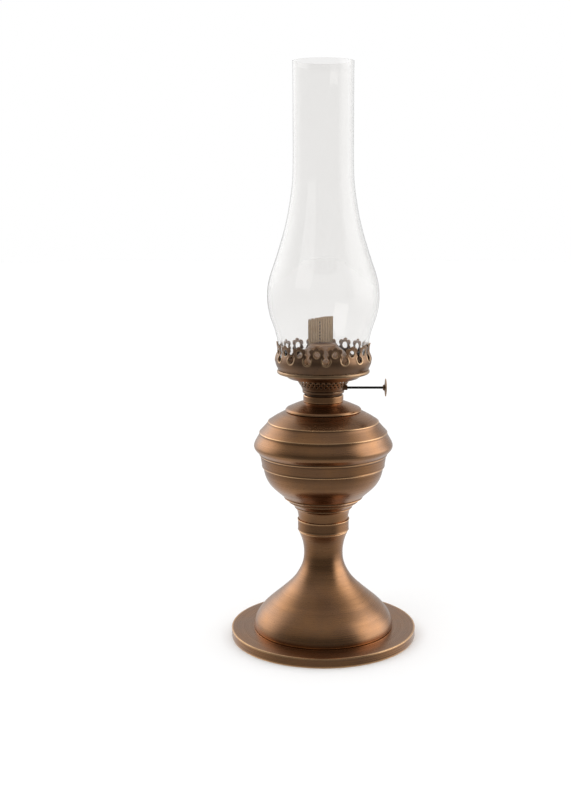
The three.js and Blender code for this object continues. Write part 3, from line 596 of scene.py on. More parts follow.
# %% Turn an outline
SIDES = 160
REACH = 0.7  # mm along the outline, to each side of a point
ON_AXIS = 1e-6


def extent(node):
    """The lowest height, the highest height and the radius of a piece of the model, in mm."""
    low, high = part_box(node)
    return low.z / MM, high.z / MM, high.x / MM


def turn_at_points(outline):
    """How far a closed outline turns at each point: over zero on a ridge, under it in a groove."""
    points = np.array(outline)
    lengths = np.linalg.norm(np.roll(points, -1, axis=0) - points, axis=1)
    place = np.concatenate([[0], np.cumsum(lengths)])
    loop = np.vstack([points, points[:1]])

    def at(where):
        where = np.mod(where, place[-1])
        return np.stack([np.interp(where, place, loop[:, k]) for k in (0, 1)], axis=1)

    back = points - at(place[:-1] - REACH)
    on = at(place[:-1] + REACH) - points
    turn = np.arctan2(back[:, 0] * on[:, 1] - back[:, 1] * on[:, 0], (back * on).sum(1))
    after = np.roll(points, -1, axis=0)
    way_round = np.sign(np.sum(points[:, 0] * after[:, 1] - after[:, 0] * points[:, 1]))
    return turn * way_round


def finished(piece, body, slot, material, *cad_nodes):
    """Gives a piece its finish and its place on the lamp."""
    piece.data.materials.clear()
    piece.data.materials.append(material)
    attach(piece, body)
    if cad_nodes:
        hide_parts(*cad_nodes)
    return piece


def mesh_object(name, points, faces, turn=None):
    """A new smooth object from points in millimetres, its faces and the turn at each point."""
    mesh = bpy.data.meshes.new(name)
    mesh.from_pydata((np.array(points) * MM).tolist(), [], faces)
    layer = mesh.attributes.new("turn", "FLOAT", "POINT")
    values = np.zeros(len(points)) if turn is None else np.array(turn, float)
    layer.data.foreach_set("value", values)
    shape = bmesh.new()
    shape.from_mesh(mesh)
    bmesh.ops.remove_doubles(shape, verts=shape.verts, dist=1e-7)
    bmesh.ops.recalc_face_normals(shape, faces=shape.faces)
    shape.to_mesh(mesh)
    shape.free()
    mesh.shade_smooth()
    piece = bpy.data.objects.new(name, mesh)
    scene.collection.objects.link(piece)
    return piece


def swept(name, outline, sides, points, rub=1.0):
    """Joins equal rings of points, one for each side, into the closed skin of a round piece."""
    count = len(outline)
    faces = []
    for side in range(sides):
        here, there = side * count, ((side + 1) % sides) * count
        for index in range(count):
            ahead = (index + 1) % count
            if outline[index][0] > ON_AXIS or outline[ahead][0] > ON_AXIS:
                faces.append((here + index, there + index, there + ahead, here + ahead))
    return mesh_object(name, points, faces, np.tile(turn_at_points(outline) * rub, sides))


def turned(name, outline, sides=SIDES, rub=1.0):
    """Turns a closed outline about the lamp's axis. rub says how much its edges are rubbed."""
    angles = np.linspace(0, 2 * math.pi, sides, endpoint=False)
    points = [(r * math.sin(a), -r * math.cos(a), z) for a in angles for r, z in outline]
    return swept(name, outline, sides, points, rub)


def turned_piece(node, body, slot, material, outline, **settings):
    """A turned piece that takes the place of one piece of the model."""
    return finished(turned(f"{node}_fine", outline, **settings), body, slot, material, node)


# %% [markdown]
# ## The foot
# The foot plate is a heavy disc of sheet with its edge turned straight down. Its top edge is
# rubbed bright all round, so its corner is only just rounded. Felt under it keeps the table from
# scratches.

# %% Turn the foot plate and the felt
ROD_HOLE = 3.4  # round the rod that holds foot, bell, cup and font together
MANY_SIDES = 192  # for the pieces whose edge is seen large
plate_low, plate_high, plate_radius = extent("foot_plate")
plate_outline = [
    (plate_radius - 0.25, plate_low),
    (plate_radius, plate_low + 1.2),
    (plate_radius, plate_high),
    (ROD_HOLE, plate_high),
]
plate_section = section(plate_outline, 1.4, edge=0.3)
turned_piece("foot_plate", "lamp_base", *ANTIQUE, plate_section, sides=MANY_SIDES)

_, felt_top, felt_radius = extent("felt_pad")
felt_outline = [(0, 0), (felt_radius, 0), (felt_radius, felt_top), (0, felt_top)]
felt_section = evened(softened(felt_outline, 0.4), 4, closed=True)
turned_piece("felt_pad", "lamp_base", "felt", felt, felt_section, sides=128)
print(f"foot plate {2 * plate_radius:.1f} mm across, {plate_high:.1f} mm high")

# %% [markdown]
# ## The pedestal
# The bell swells just above the foot, runs in to a narrow waist and opens again into the cup that
# takes the font. It is spun from one sheet, so one flowing line is the whole piece. The cup is a
# separate ring: its rim is a bright thin edge, and a dark slit shows between it and the font.

# %% Turn the bell and the cup
bell_low, bell_high, _ = extent("pedestal_bell")
bell_outline = [
    (59.7, bell_low), (59.9, 10.6), (59.6, 13.2), (58.6, 16.2), (56.0, 20.9), (51.1, 26.9),
    (44.3, 33.0), (37.4, 39.0), (30.8, 45.0), (25.2, 51.0), (21.3, 57.0), (18.6, 62.6),
    (17.1, 68.0), (16.6, 74.0), (17.1, 80.5), (18.6, 87.0), (21.2, bell_high),
]
bell_section = section(flowing(bell_outline), 1.2, edge=0.4)
turned_piece("pedestal_bell", "lamp_base", *ANTIQUE, bell_section, sides=MANY_SIDES)

cup_low, cup_high, cup_radius = extent("pedestal_cup")
cup_outline = [
    (ROD_HOLE, cup_low),
    (cup_radius - 1.0, cup_low),
    (cup_radius - 0.35, cup_low + 0.7),
    (cup_radius - 0.55, cup_low + 1.9),
    (cup_radius - 0.5, cup_high - 1.6),
    (cup_radius, cup_high),
    (cup_radius - 0.75, cup_high),
    (cup_radius - 1.3, cup_high - 1.8),
    (cup_radius - 1.4, cup_low + 1.2),
    (ROD_HOLE, cup_low + 1.2),
]
cup_section = rounded(cup_outline, 0.3, 1.2)
turned_piece("pedestal_cup", "lamp_base", *ANTIQUE, cup_section)

# %% [markdown]
# ## The font
# The font holds the oil. It is two pressings soldered at a lap. The lower bowl has three small
# rings low down, like steps, and the upper shell carries the bulge and two crisp ridges. The
# ridges and the lip at the seam are corners between runs, so the runs are drawn one by one and
# joined end to end.

# %% Turn the lower bowl
FONT_WALL = 0.9
bowl_low, bowl_high, bowl_radius = extent("font_lower_bowl")
bowl_runs = [
    [(18.9, bowl_low), (20.3, 99.0), (21.2, 105.0), (21.9, 109.5), (23.2, 113.1), (24.7, 114.3)],
    [(24.5, 115.1), (25.9, 116.6), (27.9, 118.4), (29.7, 119.4)],
    [(29.6, 120.2), (31.1, 121.4), (32.6, 122.3), (33.7, 122.9)],
    [
        (33.4, 123.8), (36.9, 127.0), (40.8, 130.4), (44.9, 134.5), (47.9, 139.0), (49.8, 143.8),
        (50.7, 148.4), (bowl_radius, 151.0), (bowl_radius, bowl_high),
    ],
]
bowl_outline = [(ROD_HOLE, bowl_low), *(point for run in bowl_runs for point in flowing(run))]
bowl_section = section(bowl_outline, FONT_WALL, corner=0.3)
turned_piece("font_lower_bowl", "lamp_base", *ANTIQUE, bowl_section, sides=MANY_SIDES, rub=0.65)

# %% [markdown]
# Above the seam the outline is read upwards: a plain band, a small bead, the flare out to the
# bulge, then the two shoulders, each a hollow sweep that ends in a ridge.

# %% Turn the upper shell
shell_low, shell_high, _ = extent("font_upper_shell")
shell_runs = [
    [(52.1, 151.4), (52.5, 154.0), (53.0, 157.0), (53.3, 159.4)],
    [(53.9, 159.9), (54.3, 160.7), (54.2, 161.5)],
    [(54.9, 162.3), (56.3, 163.7), (57.7, 165.2), (58.65, 167.2), (58.65, 169.2), (57.7, 171.6)],
    [(57.1, 172.7), (56.1, 174.4), (55.0, 176.4), (54.2, 178.3), (54.2, 179.6)],
    [(53.3, 180.5), (51.5, 182.4), (49.4, 184.7), (47.7, 186.7), (47.0, 187.8), (46.9, 188.7)],
    [(45.6, 189.5), (42.4, 191.6), (38.6, 193.8), (34.6, 195.9), (30.2, shell_high)],
]
SHELL_STEPS = (1.0, 0.4, 1.0, 1.0, 1.0, 1.0)  # the bead is small, so its points stand closer
shell_outline = [(51.9, shell_low), (52.25, 150.6)]
for run, step in zip(shell_runs, SHELL_STEPS):
    shell_outline += flowing(run, step)
shell_section = section(shell_outline, FONT_WALL, corner=0.45, edge=0.25)
turned_piece("font_upper_shell", "lamp_base", *ANTIQUE, shell_section, sides=MANY_SIDES)
print(f"font {2 * max(r for r, _ in shell_outline):.1f} mm across its bulge")

# %% [markdown]
# ## The cap and the collar
# A low dome closes the font and carries the collar, which the burner screws into. The collar is a
# plain ring that steps in at its foot, where it sits in the cap. Its top edge is rubbed bright.

# %% Turn the cap and the collar
cap_low, _, cap_radius = extent("font_cap")
cap_outline = [
    (cap_radius - 0.3, cap_low), (cap_radius - 0.4, 198.7), (cap_radius - 1.3, 199.8),
    (29.3, 200.7), (26.6, 201.9), (23.4, 203.3), (20.2, 204.5), (16.4, 205.6),
]
cap_section = section(flowing(cap_outline), 0.7, corner=0.3)
turned_piece("font_cap", "lamp_base", *ANTIQUE, cap_section, rub=0.35)

COLLAR_BORE = 15.7
collar_low, _, collar_radius = extent("font_collar")
collar_foot, collar_top = 205.75, 211.2
collar_outline = [
    (COLLAR_BORE, collar_low),
    (16.1, collar_low),
    (16.1, collar_foot),
    (collar_radius, collar_foot),
    (collar_radius + 0.05, collar_top - 0.5),
    (collar_radius - 0.4, collar_top),
    (COLLAR_BORE, collar_top),
]
collar_section = rounded(collar_outline, 0.25, 0.7)
turned_piece("font_collar", "lamp_base", *ANTIQUE, collar_section, rub=0.6)

# %% [markdown]
# ## The burner's screw ring
# This ring is the foot of the burner: a thread below, and a plain rounded band above it that the
# fingers grip. When the lamp is whole, the band shows, with a dark line of thread under it.
# That line is partly the real shade of the recess and partly painted shade, because the whole
# thread is given the dark groove colour.

# %% Turn the screw ring
ring_low, ring_high, ring_radius = extent("burner_screw_ring")
THREAD_PITCH = 1.8
THREAD_TURNS = 3
THREAD_ROOT = 15.0  # the radius at the bottom of the thread
THREAD_DEPTH = 0.28
RING_BORE = 14.7
BAND_BORE = 16.4


def thread_radius(angle, height):
    """The wavy wall of the thread: a rounded crest once in every pitch, along a spiral."""
    turns = (height - ring_low - 0.6) / THREAD_PITCH - angle / (2 * math.pi)
    inside = 0 < turns < THREAD_TURNS
    crest = 0.5 - 0.5 * math.cos(2 * math.pi * turns)
    return THREAD_ROOT + (THREAD_DEPTH * crest if inside else 0)


band_low = 212.8
ring_outline = [
    (RING_BORE, ring_low),
    *[(THREAD_ROOT, ring_low + 0.2 * step) for step in range(1, 47)],
    (THREAD_ROOT, band_low),
    *flowing([(16.6, band_low), (17.3, band_low + 0.4), (ring_radius, band_low + 1.2)], step=0.4),
    (ring_radius, ring_high - 0.2),
    (ring_radius - 0.2, ring_high),
    (BAND_BORE, ring_high),
    (BAND_BORE, band_low + 0.7),
    (RING_BORE, band_low + 0.7),
]
screw_ring = turned("burner_screw_ring_fine", ring_outline, rub=0.15)
# The thread and the bore below the band get a turn of -1, so they take the dark groove colour:
# painted shade in the gap under the band. Then the thread's crests are pushed out.
for point, turn in zip(screw_ring.data.vertices, screw_ring.data.attributes["turn"].data):
    x, y, z = point.co / MM
    if z < band_low + 0.1 and math.hypot(x, y) < 16:
        turn.value = -1
    if z < band_low - 0.2 and math.hypot(x, y) > 14.9:
        new = thread_radius(math.atan2(x, -y) % (2 * math.pi), z) / math.hypot(x, y)
        point.co.x *= new
        point.co.y *= new
finished(screw_ring, "screw_ring", *DARK, "burner_screw_ring")

# %% [markdown]
# ## Pierced sheet
# The basket and the crown are pierced. Cutting holes with booleans leaves long thin faces that
# shade badly once the sheet is bent, so the sheet is made flat from small squares instead. A
# formula says how far each point lies from the nearest edge of the metal. Squares that lie
# outside are left out, and the points along the edge are slid onto it. Then the sheet is rolled
# up and given its wall.


# %% Pierce a flat sheet and roll it up
EDGE_BAND = 0.55  # mm beside each hole where the edge counts as rubbed
EDGE_TURN = 0.4
RIM_TURN = 2.6  # for each millimetre that a rim is raised


def pierced(
    name, width, low, high, cell, edge, radius_at, wall, repeats, first_degrees=0, emboss=None
):
    """A rolled sheet. edge(u, v) is above zero in the metal, in millimetres from its edge."""
    columns, rows = round(width / cell), round((high - low) / cell)
    us = np.linspace(-width / 2, width / 2, columns + 1)
    vs = np.linspace(low, high, rows + 1)
    u, v = np.meshgrid(us, vs)
    middle_u, middle_v = (u[:-1, :-1] + u[1:, 1:]) / 2, (v[:-1, :-1] + v[1:, 1:]) / 2
    kept = edge(middle_u, middle_v) > 0

    around = np.zeros((rows + 2, columns + 2), bool)
    around[1:-1, 1:-1] = kept
    around[1:-1, 0], around[1:-1, -1] = kept[:, -1], kept[:, 0]
    corners = ((0, 0), (0, 1), (1, 0), (1, 1))
    touching = sum(around[a : a + rows + 1, b : b + columns + 1].astype(int) for a, b in corners)
    on_edge = (touching > 0) & (touching < 4) & (v > low + 1e-6)
    small = 1e-3
    for _ in range(4):
        distance = edge(u, v)
        slope_u = (edge(u + small, v) - edge(u - small, v)) / (2 * small)
        slope_v = (edge(u, v + small) - edge(u, v - small)) / (2 * small)
        length = np.maximum(slope_u**2 + slope_v**2, 0.3)
        shift = np.clip(distance / length, -cell, cell)
        u = np.where(on_edge, u - shift * slope_u, u)
        v = np.where(on_edge, v - shift * slope_v, v)
    v = np.clip(v, low, high)
    near = np.clip(1 - edge(u, v) / EDGE_BAND, 0, 1)
    raised = emboss(u, v) if emboss else np.zeros_like(u)
    turn = near * EDGE_TURN + raised * RIM_TURN

    points, faces, values = [], [], []
    size = (rows + 1) * (columns + 1)
    for repeat in range(repeats):
        angle = math.radians(first_degrees + 360 * repeat / repeats)
        angle = angle + u / width * (2 * math.pi / repeats)
        radius = radius_at(v)
        for side in (raised, raised - wall):
            r = radius + side
            skin = np.stack([r * np.sin(angle), -r * np.cos(angle), v], axis=-1)
            points.append(skin.reshape(-1, 3))
            values.append(turn.reshape(-1))
        outer, inner = 2 * repeat * size, (2 * repeat + 1) * size
        for row, column in zip(*np.nonzero(kept)):
            a = row * (columns + 1) + column
            b, c, d = a + 1, a + columns + 2, a + columns + 1
            faces.append((outer + a, outer + b, outer + c, outer + d))
            faces.append((inner + d, inner + c, inner + b, inner + a))
            beside = (
                (around[row, column + 1], a, b),
                (around[row + 2, column + 1], c, d),
                (around[row + 1, column], d, a),
                (around[row + 1, column + 2], b, c),
            )
            for has_metal, start, end in beside:
                if not has_metal:
                    faces.append((outer + end, outer + start, inner + start, inner + end))
    return mesh_object(name, np.concatenate(points), faces, np.concatenate(values))


# %% [markdown]
# ## The basket
# Air reaches the flame through the basket, a flared band with three staggered rows of round
# holes. One repeat of the pattern is one hole in each row.

# %% Pierce the basket
basket_low, basket_high, basket_rim = extent("burner_basket")
basket_foot, basket_middle = 17.6, 20
BASKET_REPEATS = 32
HOLE_RADIUS = 0.85
HOLE_ROWS = (3.9, 5.95, 8.0)  # mm above the foot of the basket
basket_pitch = 2 * math.pi * basket_middle / BASKET_REPEATS


def basket_edge(u, v):
    """Distance from the nearest hole, or from the top edge of the basket."""
    distance = basket_high - v
    for index, height in enumerate(HOLE_ROWS):
        middle = 0 if index % 2 else basket_pitch / 2
        for side in (-1, 0, 1):
            away = np.hypot(u - middle - side * basket_pitch, v - basket_low - height)
            distance = np.minimum(distance, away - HOLE_RADIUS)
    return distance


def basket_radius(v):
    share = (v - basket_low) / (basket_high - basket_low)
    flare = 0.55 * share + 0.45 * np.sin(share * math.pi / 2) ** 2
    return basket_foot + (basket_rim - basket_foot) * flare


basket = pierced(
    "burner_basket_fine",
    basket_pitch,
    basket_low,
    basket_high,
    cell=0.33,
    edge=basket_edge,
    radius_at=basket_radius,
    wall=0.7,
    repeats=BASKET_REPEATS,
)
finished(basket, "burner", *DARK, "burner_basket")
print(f"basket: {BASKET_REPEATS * len(HOLE_ROWS)} holes, {len(basket.data.polygons)} faces")

# %% [markdown]
# ## The gallery dish
# The dish carries everything above: the air plate, the glass and the crown. Its rim is rolled
# into a round bead that catches the light from the table.

# %% Turn the gallery dish
dish_low, _, dish_radius = extent("gallery_dish")
DISH_BORE = 18.4
DISH_WALL = 0.8
BEAD = 1.7  # the radius of the rolled rim
bead_middle = (dish_radius - BEAD, 231.1)
bead_arc = [
    (bead_middle[0] + BEAD * math.cos(angle), bead_middle[1] + BEAD * math.sin(angle))
    for angle in map(math.radians, range(-112, 92, 12))
]
dish_outline = [
    (DISH_BORE, dish_low),
    (29.3, dish_low),
    (33.9, 228.9),
    (36.0, 228.9),
    *bead_arc,
    (36.9, bead_middle[1] + BEAD),
    (36.9, 229.7),
    (33.5, 229.7),
    (28.9, dish_low + DISH_WALL),
    (DISH_BORE, dish_low + DISH_WALL),
]
turned_piece("gallery_dish", "burner", *DARK, rounded(dish_outline, 0.4, 1.2))

# %% [markdown]
# ## The crown
# The crown is stamped sheet: sixteen flowers on short stems, with a keyhole between each pair.
# Every flower is a round hole in a ring, with five petals about it. Round each keyhole the sheet
# is raised in a narrow rim. A distance formula does this well, because a union of discs is one
# minimum.

# %% Pierce the crown
crown_low, crown_high, _ = extent("gallery_crown")
FLOWERS = 16
FIRST_FLOWER = 14.5  # degrees from the front
crown_foot, crown_middle = 37.75, 39.2
crown_pitch = 2 * math.pi * crown_middle / FLOWERS
flower_height = crown_high - 6.2
keyhole_height = crown_high - 11.5
FLOWER_HOLE = 2.75
KEYHOLE = 2.85
PETALS = [  # place across, place up and radius
    (0, 4.15, 2.1),
    *[(side * 3.75, 2.35, 2.35) for side in (1, -1)],
    *[(side * 4.0, -1.8, 2.05) for side in (1, -1)],
]


def crown_edge(u, v):
    """Distance into the metal from the nearest edge of a flower, a stem or a keyhole."""
    up = v - flower_height
    head = 4.45 - np.hypot(u, up)
    for x, y, radius in PETALS:
        head = np.maximum(head, radius - np.hypot(u - x, up - y))
    beside = np.abs(u) - crown_pitch / 2
    gap_heights = [keyhole_height, keyhole_height + 3.2, flower_height - 0.8]
    neck = -beside - np.interp(v, gap_heights, [1.2, 1.15, 2.6])
    stem = np.minimum(neck, flower_height - 0.6 - v)
    metal = np.maximum(np.maximum(head, stem), keyhole_height - v)
    keyhole = np.hypot(beside, v - keyhole_height) - KEYHOLE
    return np.minimum(np.minimum(metal, np.hypot(u, up) - FLOWER_HOLE), keyhole)


def crown_emboss(u, v):
    """The raised rims round the keyholes, and lower ones round the flowers' holes."""
    beside = np.abs(u) - crown_pitch / 2
    around_key = np.hypot(beside, np.maximum(keyhole_height - v, 0.55 * (keyhole_height - v)))
    key_rim = np.exp(-(((around_key - 3.75) / 0.42) ** 2))
    key_rim = key_rim * np.clip((keyhole_height + 3.5 - v) / 2, 0, 1)
    flower_rim = np.exp(-(((np.hypot(u, v - flower_height) - 3.3) / 0.4) ** 2))
    return 0.32 * key_rim + 0.14 * flower_rim


CROWN_SWELL = [  # share of the height and share of the swelling
    (0.0, 0.05), (0.08, 0.35), (0.2, 0.8), (0.34, 1.0), (0.46, 0.87), (0.6, 0.45), (0.71, 0.28),
    (0.84, 0.38), (1.0, 0.78),
]
swell_line = np.array(flowing([(p * 10, s * 10) for p, s in CROWN_SWELL], 0.2)) / 10
fine = np.linspace(0, 1, 200)
swelling = np.interp(fine, swell_line[:, 0], swell_line[:, 1])


def crown_radius(v):
    share = (v - crown_low) / (crown_high - crown_low)
    return crown_foot + 2.6 * np.interp(share, fine, swelling)


crown = pierced(
    "gallery_crown_fine",
    crown_pitch,
    crown_low,
    crown_high,
    cell=0.36,
    edge=crown_edge,
    radius_at=crown_radius,
    wall=0.55,
    repeats=FLOWERS,
    first_degrees=FIRST_FLOWER,
    emboss=crown_emboss,
)
finished(crown, "burner", *DARK, "gallery_crown")
print(f"crown: {FLOWERS} flowers, {len(crown.data.polygons)} faces")

# %% [markdown]
# ## The flame deflector
# The dome over the wick tube draws air to the flame. It is turned like the rest, and then a slot
# with round ends is cut across its top. One boolean on a dense turned mesh is clean enough here,
# because the wick hides most of the slot.

# %% Turn and slot the deflector
deflector_low, deflector_high, deflector_radius = extent("flame_deflector")
deflector_runs = [
    [
        (deflector_radius, deflector_low), (27.6, 231.0), (26.2, 237.5), (22.9, 243.4),
        (18.2, 247.6), (14.0, 251.2), (12.0, 253.3),
    ],
    [(11.6, 254.2), (10.4, 255.3), (8.0, 255.95), (4.5, 256.15), (0, deflector_high)],
]
dome_outline = [point for run in deflector_runs for point in flowing(run)]
deflector = turned("flame_deflector_fine", sheet(dome_outline, 0.6, corner=0.3))

SLOT_HALF = 10.3  # from the middle to the centre of a round end
SLOT_ROUND = 3.4
SLOT_HEIGHTS = (247.2, 265.2)
corners = [
    (side * SLOT_HALF + SLOT_ROUND * math.sin(angle), SLOT_ROUND * math.cos(angle))
    for side, start in ((1, 0.0), (-1, math.pi))
    for angle in np.linspace(start, start + math.pi, 13)
]
count = len(corners)
walls = [(i, (i + 1) % count, count + (i + 1) % count, count + i) for i in range(count)]
ends = [tuple(range(count)), tuple(range(count, 2 * count))]
slot_points = [(x, y, z) for z in SLOT_HEIGHTS for x, y in corners]
cutter = mesh_object("slot_cutter", slot_points, ends + walls)
modifier = deflector.modifiers.new("slot", "BOOLEAN")
modifier.operation = "DIFFERENCE"
modifier.object = cutter
bpy.context.view_layer.update()
cut = deflector.evaluated_get(bpy.context.evaluated_depsgraph_get())
cut_mesh = bpy.data.meshes.new_from_object(cut)
deflector.modifiers.clear()
deflector.data = cut_mesh
deflector.data.set_sharp_from_angle(angle=math.radians(40))
bpy.data.objects.remove(cutter)
finished(deflector, "burner", *DARK, "flame_deflector")

# %% [markdown]
# ## The winder
# A thin blackened shaft turns the toothed wheels that move the wick. Its knob is a stamped disc,
# thicker in the middle, with a milled rim to grip. The rim is a ring of small teeth: the radius
# of each outline point is moved in and out as the outline goes round.

# %% Make the shaft and the knob
shaft_low, shaft_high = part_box("winder_shaft")
shaft_y = (shaft_low.y + shaft_high.y) / 2 / MM
shaft_z = (shaft_low.z + shaft_high.z) / 2 / MM
shaft_radius = (shaft_high.z - shaft_low.z) / 2 / MM


def along_x(name, outline, sides, ripple=None):
    """Turns an outline of (radius, place along X) about the winder's own axis."""
    points = []
    for side in range(sides):
        angle = 2 * math.pi * side / sides
        for radius, x in outline:
            r = radius * (ripple(side, radius) if ripple else 1)
            points.append((x, shaft_y + r * math.cos(angle), shaft_z + r * math.sin(angle)))
    return swept(name, outline, sides, points)


start, end = shaft_low.x / MM, shaft_high.x / MM
shaft_outline = [(0, start), (shaft_radius, start), (shaft_radius, end), (0, end)]
shaft = along_x("winder_shaft_fine", evened(softened(shaft_outline, 0.3), 2, closed=True), 32)
finished(shaft, "winder", "black_steel", black_steel, "winder_shaft")

knob_low, knob_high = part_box("winder_knob")
knob_radius = (knob_high.z - knob_low.z) / 2 / MM
knob_end, knob_start = knob_high.x / MM, knob_low.x / MM
knob_outline = softened(
    [
        (0, knob_end),
        *flowing([(2.5, knob_end), (4.6, knob_end - 0.15), (6.4, knob_end - 0.45)]),
        (knob_radius, knob_end - 0.55),
        (knob_radius, knob_end - 1.35),
        *flowing([(6.2, knob_end - 1.55), (4.2, knob_end - 1.75), (2.6, knob_end - 2.1)]),
        (2.1, knob_start),
        (1.3, knob_start),
        (1.3, end + 0.3),
        (0, end + 0.3),
    ],
    0.25,
)
MILLED = 48  # teeth round the rim, four sides to each
TOOTH_DEPTH = 0.022  # of the radius


def milled(side, radius):
    return 1 - (TOOTH_DEPTH if side % 4 in (0, 1) and radius > knob_radius - 0.3 else 0)


knob = along_x("winder_knob_fine", knob_outline, MILLED * 4, milled)
finished(knob, "winder", *DARK, "winder_knob")

# %% [markdown]
# ## The wick
# A flat wick is a woven strap. Its cords run upwards, so the face is ribbed, and the crossing
# threads notch each rib. The strap is modelled with real ribs: a closed skin of small squares
# whose depth follows the weave. Its top is cut at a slant and has begun to fray.

# %% Weave the wick
wick_low, wick_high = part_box("wick")
left, right = wick_low.x / MM, wick_high.x / MM
wick_bottom, wick_top = wick_low.z / MM, wick_high.z / MM
WICK_SLANT = 4.0  # how much lower the top is on the left
WICK_HALF = 0.86  # half the depth of the strap, without its ribs
CORD_DEPTH, CROSS_DEPTH = 0.06, 0.035
columns, rows = 64, 300


def wick_ribs(x, z):
    """How far the weave stands out of the strap's face."""
    cords = 0.5 + 0.5 * math.cos(2 * math.pi * x / CORD_PITCH)
    crossing = 0.5 + 0.5 * math.sin(2 * math.pi * z / CROSS_PITCH + math.pi * round(x / CORD_PITCH))
    return CORD_DEPTH * cords + CROSS_DEPTH * crossing


points, faces = [], []
ring = [(i, 1) for i in range(columns + 1)] + [(i, -1) for i in range(columns, -1, -1)]
for row in range(rows + 1):
    share = row / rows
    for column, face in ring:
        across = column / columns
        x = left + (right - left) * across
        z = wick_bottom + (wick_top - WICK_SLANT * (1 - across) - wick_bottom) * share
        edge = min(across, 1 - across) * (right - left)
        round_off = math.sqrt(min(1, (edge + 0.05) / 0.9))
        points.append((x, -face * (WICK_HALF + wick_ribs(x, z)) * round_off, z))
around = len(ring)
for row in range(rows):
    for index in range(around):
        a, b = row * around + index, row * around + (index + 1) % around
        faces.append((a, b, b + around, a + around))
for base in (0, rows * around):
    for column in range(columns):
        opposite = base + around - 1 - column
        faces.append((base + column, base + column + 1, opposite - 1, opposite))
wick = mesh_object("wick_woven", points, faces)
finished(wick, "wick", "cotton_wick", cotton, "wick")

# %% [markdown]
# A dark thread is sewn down the middle of the strap. It shows as a row of short stitches on both
# faces. Loose threads stand up from the cut edge. All of them are the same small capsule, bent
# and scaled, so one function makes them, and a seeded generator gives the same fray every time.


# %% Sew the stitches and fray the top
def thread(path, radius, sides=6):
    """Points and faces of a short round thread along a few points."""
    path = [np.array(p, float) for p in path]
    points, faces = [], []
    for index, here in enumerate(path):
        way = path[min(index + 1, len(path) - 1)] - path[max(index - 1, 0)]
        way /= np.linalg.norm(way)
        first = np.cross(way, (0.3, 1, 0.2))
        first /= np.linalg.norm(first)
        second = np.cross(way, first)
        thick = radius * (0.35 if index in (0, len(path) - 1) else 1)
        for side in range(sides):
            angle = 2 * math.pi * side / sides
            points.append(here + thick * (math.cos(angle) * first + math.sin(angle) * second))
    for index in range(len(path) - 1):
        for side in range(sides):
            a, b = index * sides + side, index * sides + (side + 1) % sides
            faces.append((a, b, b + sides, a + sides))
    faces.append(tuple(range(sides))[::-1])
    faces.append(tuple((len(path) - 1) * sides + side for side in range(sides)))
    return points, faces


def bundle(name, threads):
    """Many threads as one object."""
    points, faces = [], []
    for some_points, some_faces in threads:
        faces += [tuple(index + len(points) for index in face) for face in some_faces]
        points += some_points
    return mesh_object(name, points, faces)


STITCH_PITCH = 2.7
STITCH_LENGTH = 1.9
STITCH_RADIUS = 0.42
middle = (left + right) / 2 - 0.6
middle_top = wick_top - WICK_SLANT * (right - middle) / (right - left)
stitches = []
for index in range(int((middle_top - wick_bottom - 2) / STITCH_PITCH)):
    low = wick_bottom + 1 + index * STITCH_PITCH
    for face in (-1, 1):
        out = face * (WICK_HALF - 0.12)
        sunk = out - face * 0.25
        high = low + STITCH_LENGTH
        path = [(middle, sunk, low), (middle + 0.05, out, low + 0.4)]
        path += [(middle - 0.05, out, high - 0.4), (middle, sunk, high)]
        stitches.append(thread(path, STITCH_RADIUS))
stitching = bundle("wick_stitching", stitches)
finished(stitching, "wick", "cotton_wick", stitch_thread)

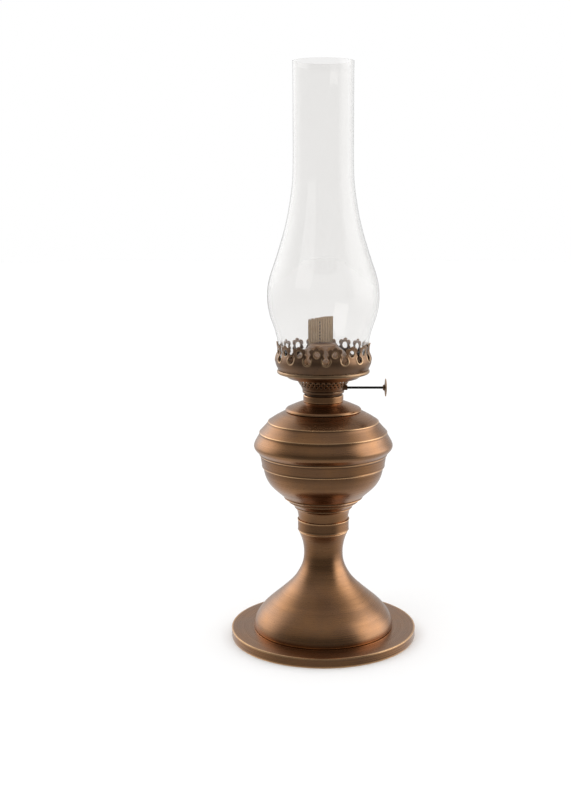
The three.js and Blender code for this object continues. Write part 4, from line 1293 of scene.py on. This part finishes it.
LOOSE_THREADS = 220
LOOSE_RADIUS = 0.18
chance = np.random.default_rng(7)
fray = []
for _ in range(LOOSE_THREADS):
    x = chance.uniform(left + 0.3, right - 0.3)
    top = wick_top - WICK_SLANT * (right - x) / (right - left)
    y = chance.uniform(-0.75, 0.75)
    room = wick_top - 0.05 - top
    reach = min(chance.uniform(0.3, 1.6), max(room, 0.12))
    lean = chance.uniform(-0.5, 0.5, 2)
    path = [(x, y, top - 0.8), (x, y, top - 0.1)]
    path.append((x + lean[0] * 0.4, y + lean[1] * 0.4, top + reach * 0.6))
    path.append((x + lean[0], y + lean[1] * 0.8, top + reach))
    fray.append(thread(path, LOOSE_RADIUS, sides=5))
finished(bundle("wick_fray", fray), "wick", "cotton_wick", cotton)
print(f"wick {right - left:.1f} mm wide, {len(stitches)} stitches, {len(fray)} loose threads")

# %% [markdown]
# ## The glass chimney
# The chimney is blown glass, two millimetres thick, with a straight foot inside the crown, a
# bulge for the flame and a long tube for the draught. The rim is melted round in a flame, and a
# real wall is needed: a single skin would neither bend light nor darken towards its edges.

# %% Blow the chimney
glass_low, glass_high, _ = extent("chimney")
glass_outline = [
    (36.5, glass_low), (36.7, 242.0), (37.9, 255.0), (39.5, 262.5), (41.3, 268.6), (43.2, 274.0),
    (44.8, 279.0), (45.9, 284.5), (46.5, 289.8), (46.65, 295.0), (46.2, 301.5), (44.9, 308.5),
    (42.6, 316.0), (39.6, 324.3), (36.1, 335.3), (33.2, 345.2), (30.6, 355.2), (28.6, 365.0),
    (26.9, 375.5), (25.6, 386.0), (24.95, 400.0), (24.8, 430.0), (24.85, 470.0), (24.95, 479.0),
    (25.1, glass_high),
]
glass_section = section(flowing(glass_outline, step=2.2), 2.0, edge=0.9, steps=5)
chimney = turned("chimney_glass", glass_section, sides=144)
finished(chimney, "chimney", "clear_glass", clear_glass, "chimney")

# %% [markdown]
# ## The pieces that keep their model shape
# What is left is small or hidden: plates, tubes, lugs, wheels, the rod and its nut. Their shapes
# are already right, so each only gets its finish.

# %% Finish the remaining pieces
WHEELS = [f"winder_wheel_{number}" for number in range(1, 5)]
ZINC_PLATED = ["tie_rod", "tie_rod_washer", "tie_rod_nut", *WHEELS]
DARKENED = ["font_boss", "burner_floor", "wick_tube", "vent_tube", "air_plate"]
DARKENED += ["shaft_lug_left", "shaft_lug_right", "shaft_bushing"]
PLAIN = {"ballast_weight": cast_iron}
PLAIN |= dict.fromkeys(ZINC_PLATED, plain_steel) | dict.fromkeys(DARKENED, dark_bronze)
for node, material in PLAIN.items():
    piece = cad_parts[node]
    piece.data.materials.clear()
    piece.data.materials.append(material)
print("pieces that keep their shape:", len(PLAIN))
